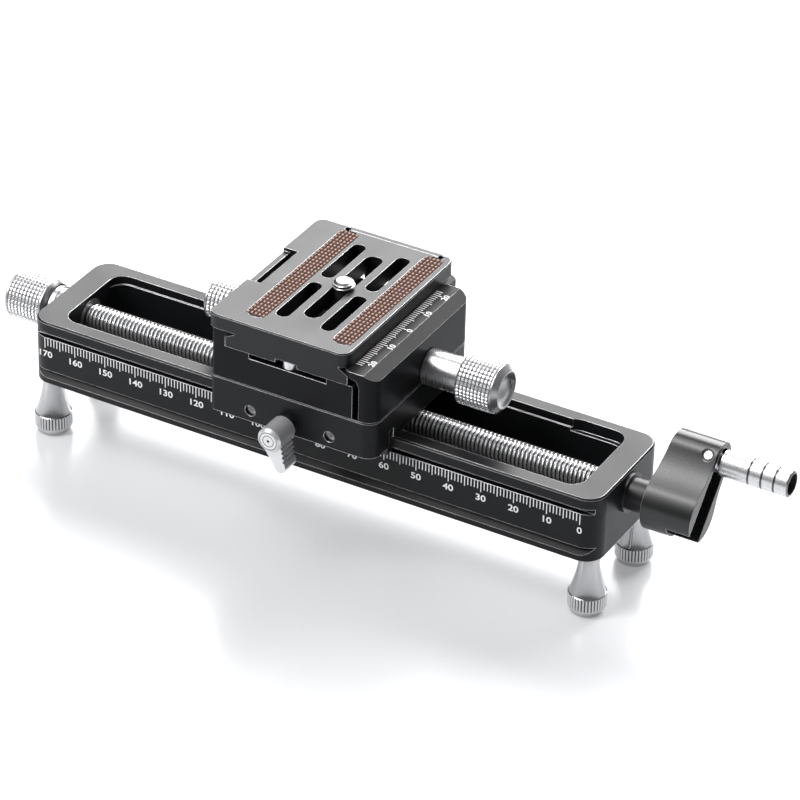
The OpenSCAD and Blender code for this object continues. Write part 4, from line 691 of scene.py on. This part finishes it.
def make_feet():
    """Turned feet: a stud, a flaring neck, a grooved band and a base."""
    top, bottom = RAIL_BOTTOM, corners("foot_front_left")[0].z
    stud_r, stud_length = 2.0, 6.0
    neck_r, flare_r, flare_length = 2.85, 5.1, 12.1
    straight_share, flare_power, flare_steps, flare_lift = 0.12, 1.6, 14, 0.1
    radius, band_height, base_r = 5.4, 4.2, 4.6
    upper_rim = ((0, -0.12), (-0.12, 0), (-0.35, 0), (-0.5, 0))
    lower_rim = ((0.5, 0), (0.12, 0), (0, -0.1), (-0.25, -0.2))
    base_rim = ((0.35, 0.1), (0, -0.3))
    grooves, groove_depth, groove_slope, groove_run = 36, 0.42, 1.7, 0.35
    steps_per_groove, slack = 8, 0.001
    band_top = top - flare_length
    band_low = band_top - band_height

    def shape(along, angle, foot_r):
        if foot_r < radius - slack:
            return foot_r
        inside = min(along - band_low, band_top - along)
        depth = groove_depth * min(1, max(0, inside / groove_run))
        crest = min(1, zigzag(grooves * angle / (2 * math.pi)) * groove_slope)
        return foot_r - depth * (1 - crest)

    rows = [(top + stud_length, stud_r), (top, stud_r), (top, neck_r),
            (top - flare_length * straight_share, neck_r)]
    for i in range(1, flare_steps + 1):
        part = i / flare_steps
        drop = flare_length * (straight_share + (1 - straight_share) * part)
        lift = flare_lift if i == flare_steps else 0
        rows.append((top - drop + lift, neck_r + (flare_r - neck_r) * part ** flare_power))
    rows += stepped(band_top, radius, upper_rim) + stepped(band_low, radius, lower_rim)
    rows += stepped(bottom, base_r, base_rim)
    dressed_low, dressed_high = at(0, 0, band_low).z, at(0, 0, band_top - BAND_LIP).z
    for foot, (x, y) in FEET.items():
        verts, faces = turned(rows, grooves * steps_per_groove, along_z(x, y), shape)
        node = "foot_" + foot
        piece = add_piece(node + "_turned", verts, faces, node, "rail",
                          [node], sharp=35)
        dress_band(piece, "foot_band_" + foot, 2, dressed_low, dressed_high)


# Rubber strips

STRIPS = {"strip_left": -12.8, "strip_right": 14.2}     # x of each strip's middle
STRIP_HALF, STRIP_FRONT, STRIP_BACK = 3.0, -25.5, 27.9


def strip_bed(x, low):
    """A strip's bed with rounded ends, pulled up from the floor of its groove."""
    arc_steps = 16
    outline = []
    for start, end_y in ((0, STRIP_BACK - STRIP_HALF), (math.pi, STRIP_FRONT + STRIP_HALF)):
        for k in range(arc_steps + 1):
            angle = start + math.pi * k / arc_steps
            outline.append((x + STRIP_HALF * math.cos(angle),
                            end_y + STRIP_HALF * math.sin(angle)))
    count = len(outline)
    verts = [at(*point, z) for z in (low, STRIP_BED) for point in outline]
    faces = [tuple(range(count))[::-1], tuple(range(count, 2 * count))]
    for i in range(count):
        j = (i + 1) % count
        faces.append((i, j, count + j, count + i))
    return verts, faces


def add_pyramid(verts, faces, x, y):
    """A small pyramid with a flat top, its foot sunk into the strip's bed."""
    foot, top = (0.54, 0.66), (0.26, 0.34)
    sink = 0.02
    first = len(verts)
    for (wide, long), z in ((foot, STRIP_BED - sink), (top, STRIP_TOP)):
        for side, end in ((-1, -1), (1, -1), (1, 1), (-1, 1)):
            verts.append(at(x + side * wide, y + end * long, z))
    for face in ((0, 1, 5, 4), (1, 2, 6, 5), (2, 3, 7, 6), (3, 0, 4, 7), (4, 5, 6, 7),
                 (3, 2, 1, 0)):
        faces.append(tuple(first + i for i in face))


def make_strips():
    """Rubber strips: a bed with rows of small pyramids."""
    across, pitch, row_pitch, overhang = 5, 1.2, 1.62, 0.03
    rows = int((STRIP_BACK - STRIP_FRONT) / row_pitch)
    first = (STRIP_FRONT + STRIP_BACK) / 2 - rows * row_pitch / 2
    for node, x in STRIPS.items():
        verts, faces = strip_bed(x, corners(node)[0].z)
        for row in range(rows):
            y = first + row_pitch * (row + 0.5)
            past_end = max(y - (STRIP_BACK - STRIP_HALF), STRIP_FRONT + STRIP_HALF - y, 0)
            for column in range(across):
                side = pitch * (column + 0.5) - STRIP_HALF
                if math.hypot(side, past_end) <= STRIP_HALF + overhang:
                    add_pyramid(verts, faces, x + side, y)
        add_piece(node + "_ribbed", verts, faces, "rubber", "camera_plate",
                  [node], sharp=20)


# Scales and marks

TICK_THICKNESS = 0.02
NUMERAL_THICKNESS = 0.012
CAPITAL_SHARE = 0.73    # of the font's size that a numeral is high


def slab(verts, faces, corner, across, up, out):
    """A thin closed box from a corner and three edge vectors."""
    first = len(verts)
    corner, across, up, out = (Vector(v) for v in (corner, across, up, out))
    back = (corner, corner + across, corner + across + up, corner + up)
    verts += [at(*point) for point in back]
    verts += [at(*(point + out)) for point in back]
    for face in ((0, 3, 2, 1), (4, 5, 6, 7), (0, 1, 5, 4), (1, 2, 6, 5), (2, 3, 7, 6),
                 (3, 0, 4, 7)):
        faces.append(tuple(first + i for i in face))


def numeral_mesh(text, height, widen, weight):
    """The flat outline of a number, centred on zero across and standing on zero."""
    curve = bpy.data.curves.new("numeral", "FONT")
    curve.body = text
    curve.size = height / CAPITAL_SHARE
    curve.align_x = "CENTER"
    curve.extrude = NUMERAL_THICKNESS
    curve.resolution_u = 4
    curve.offset = weight
    holder = bpy.data.objects.new("numeral", curve)
    scene.collection.objects.link(holder)
    graph = bpy.context.evaluated_depsgraph_get()
    mesh = bpy.data.meshes.new_from_object(holder.evaluated_get(graph))
    verts = [Vector((v.co.x * widen, v.co.y, v.co.z)) for v in mesh.vertices]
    faces = [tuple(p.vertices) for p in mesh.polygons]
    bpy.data.objects.remove(holder)
    bpy.data.meshes.remove(mesh)
    bpy.data.curves.remove(curve)
    return verts, faces


def put_numeral(verts, faces, text, height, origin, across, up, widen, weight):
    """Adds a number to a mesh, reading along across and standing up along up."""
    across, up, origin = Vector(across), Vector(up), Vector(origin)
    out = across.cross(up)
    first = len(verts)
    points, polygons = numeral_mesh(text, height, widen, weight)
    for point in points:
        flat = origin + across * point.x + up * point.y
        verts.append(at(*(flat + out * (point.z + NUMERAL_THICKNESS))))
    faces += [tuple(first + i for i in polygon) for polygon in polygons]


def tick_length(value, at_tens, at_fives, plain):
    if value % 10 == 0:
        return at_tens
    return at_fives if value % 5 == 0 else plain


def make_rail_scale():
    """The scale on the rail's front, from 0 beside the crank to its last number."""
    verts, faces = [], []
    last, number_at_middle = 170, 85
    tick_top, tick_width, longest = -5.05, 0.27, 3.3
    numeral_height, numeral_gap = 2.0, 0.75
    numeral_z = tick_top - longest - numeral_gap - numeral_height
    for value in range(last + 1):
        x = number_at_middle - value
        length = tick_length(value, longest, 3.0, 2.4)
        slab(verts, faces, (x - tick_width / 2, RAIL_FRONT, tick_top - length),
             (tick_width, 0, 0), (0, 0, length), (0, -TICK_THICKNESS, 0))
        if value % 10 == 0:
            put_numeral(verts, faces, str(value), numeral_height, (x, RAIL_FRONT, numeral_z),
                        (1, 0, 0), (0, 0, 1), widen=1.18, weight=0.05)
    add_piece("rail_scale", verts, faces, "paint", "rail")


def make_jaw_scale():
    """The scale on the jaw's top, which counts from its middle both ways."""
    verts, faces = [], []
    z = corners("movable_jaw")[1].z
    zero_y, reach = -3.3, 22
    tick_x, tick_width, numeral_x, numeral_height = 19.3, 0.26, 24.1, 1.75
    for value in range(-reach, reach + 1):
        y = zero_y + value
        length = tick_length(value, 2.9, 2.5, 2.0)
        slab(verts, faces, (tick_x, y - tick_width / 2, z), (length, 0, 0),
             (0, tick_width, 0), (0, 0, TICK_THICKNESS))
        if value % 10 == 0:
            put_numeral(verts, faces, str(abs(value)), numeral_height, (numeral_x, y, z),
                        (0, 1, 0), (-1, 0, 0), widen=1.15, weight=0.01)
    add_piece("jaw_scale", verts, faces, "paint", "jaw")


def make_lever_rings():
    """Turned rings and a centre mark on the round face of the lock lever's hub."""
    verts, faces = [], []
    hub_x, hub_z = 1.0, 1.2
    face_y = corners("lock_lever")[0].y
    thickness, steps = 0.02, 56
    for inner, outer in ((2.5, 2.72), (1.55, 1.75), (0.0, 0.42)):
        loops = []
        for y in (face_y, face_y - thickness):
            for radius in (inner, outer):
                first = len(verts)
                count = steps if radius else 1
                for i in range(count):
                    angle = 2 * math.pi * i / steps
                    verts.append(at(hub_x + radius * math.cos(angle), y,
                                    hub_z + radius * math.sin(angle)))
                loops.append([first + i % count for i in range(steps)])
        back_in, back_out, front_in, front_out = loops
        for i in range(steps):
            j = (i + 1) % steps
            ring = [(front_in[i], front_in[j], front_out[j], front_out[i]),
                    (back_in[i], back_out[i], back_out[j], back_in[j]),
                    (back_out[i], front_out[i], front_out[j], back_out[j])]
            if inner:
                ring.append((back_in[i], back_in[j], front_in[j], front_in[i]))
            faces += [tuple(dict.fromkeys(face)) for face in ring]
    add_piece("lever_rings", verts, faces, "oxide", "lock")


# The whole

make_stage()
make_dark_materials()
make_bright_materials()
dress_nodes()
make_lead_screw()
make_drive_knob()
make_clamp_knob()
make_small_knob()
make_feet()
make_camera_screw()
make_strips()
make_rail_scale()
make_jaw_scale()
make_lever_rings()
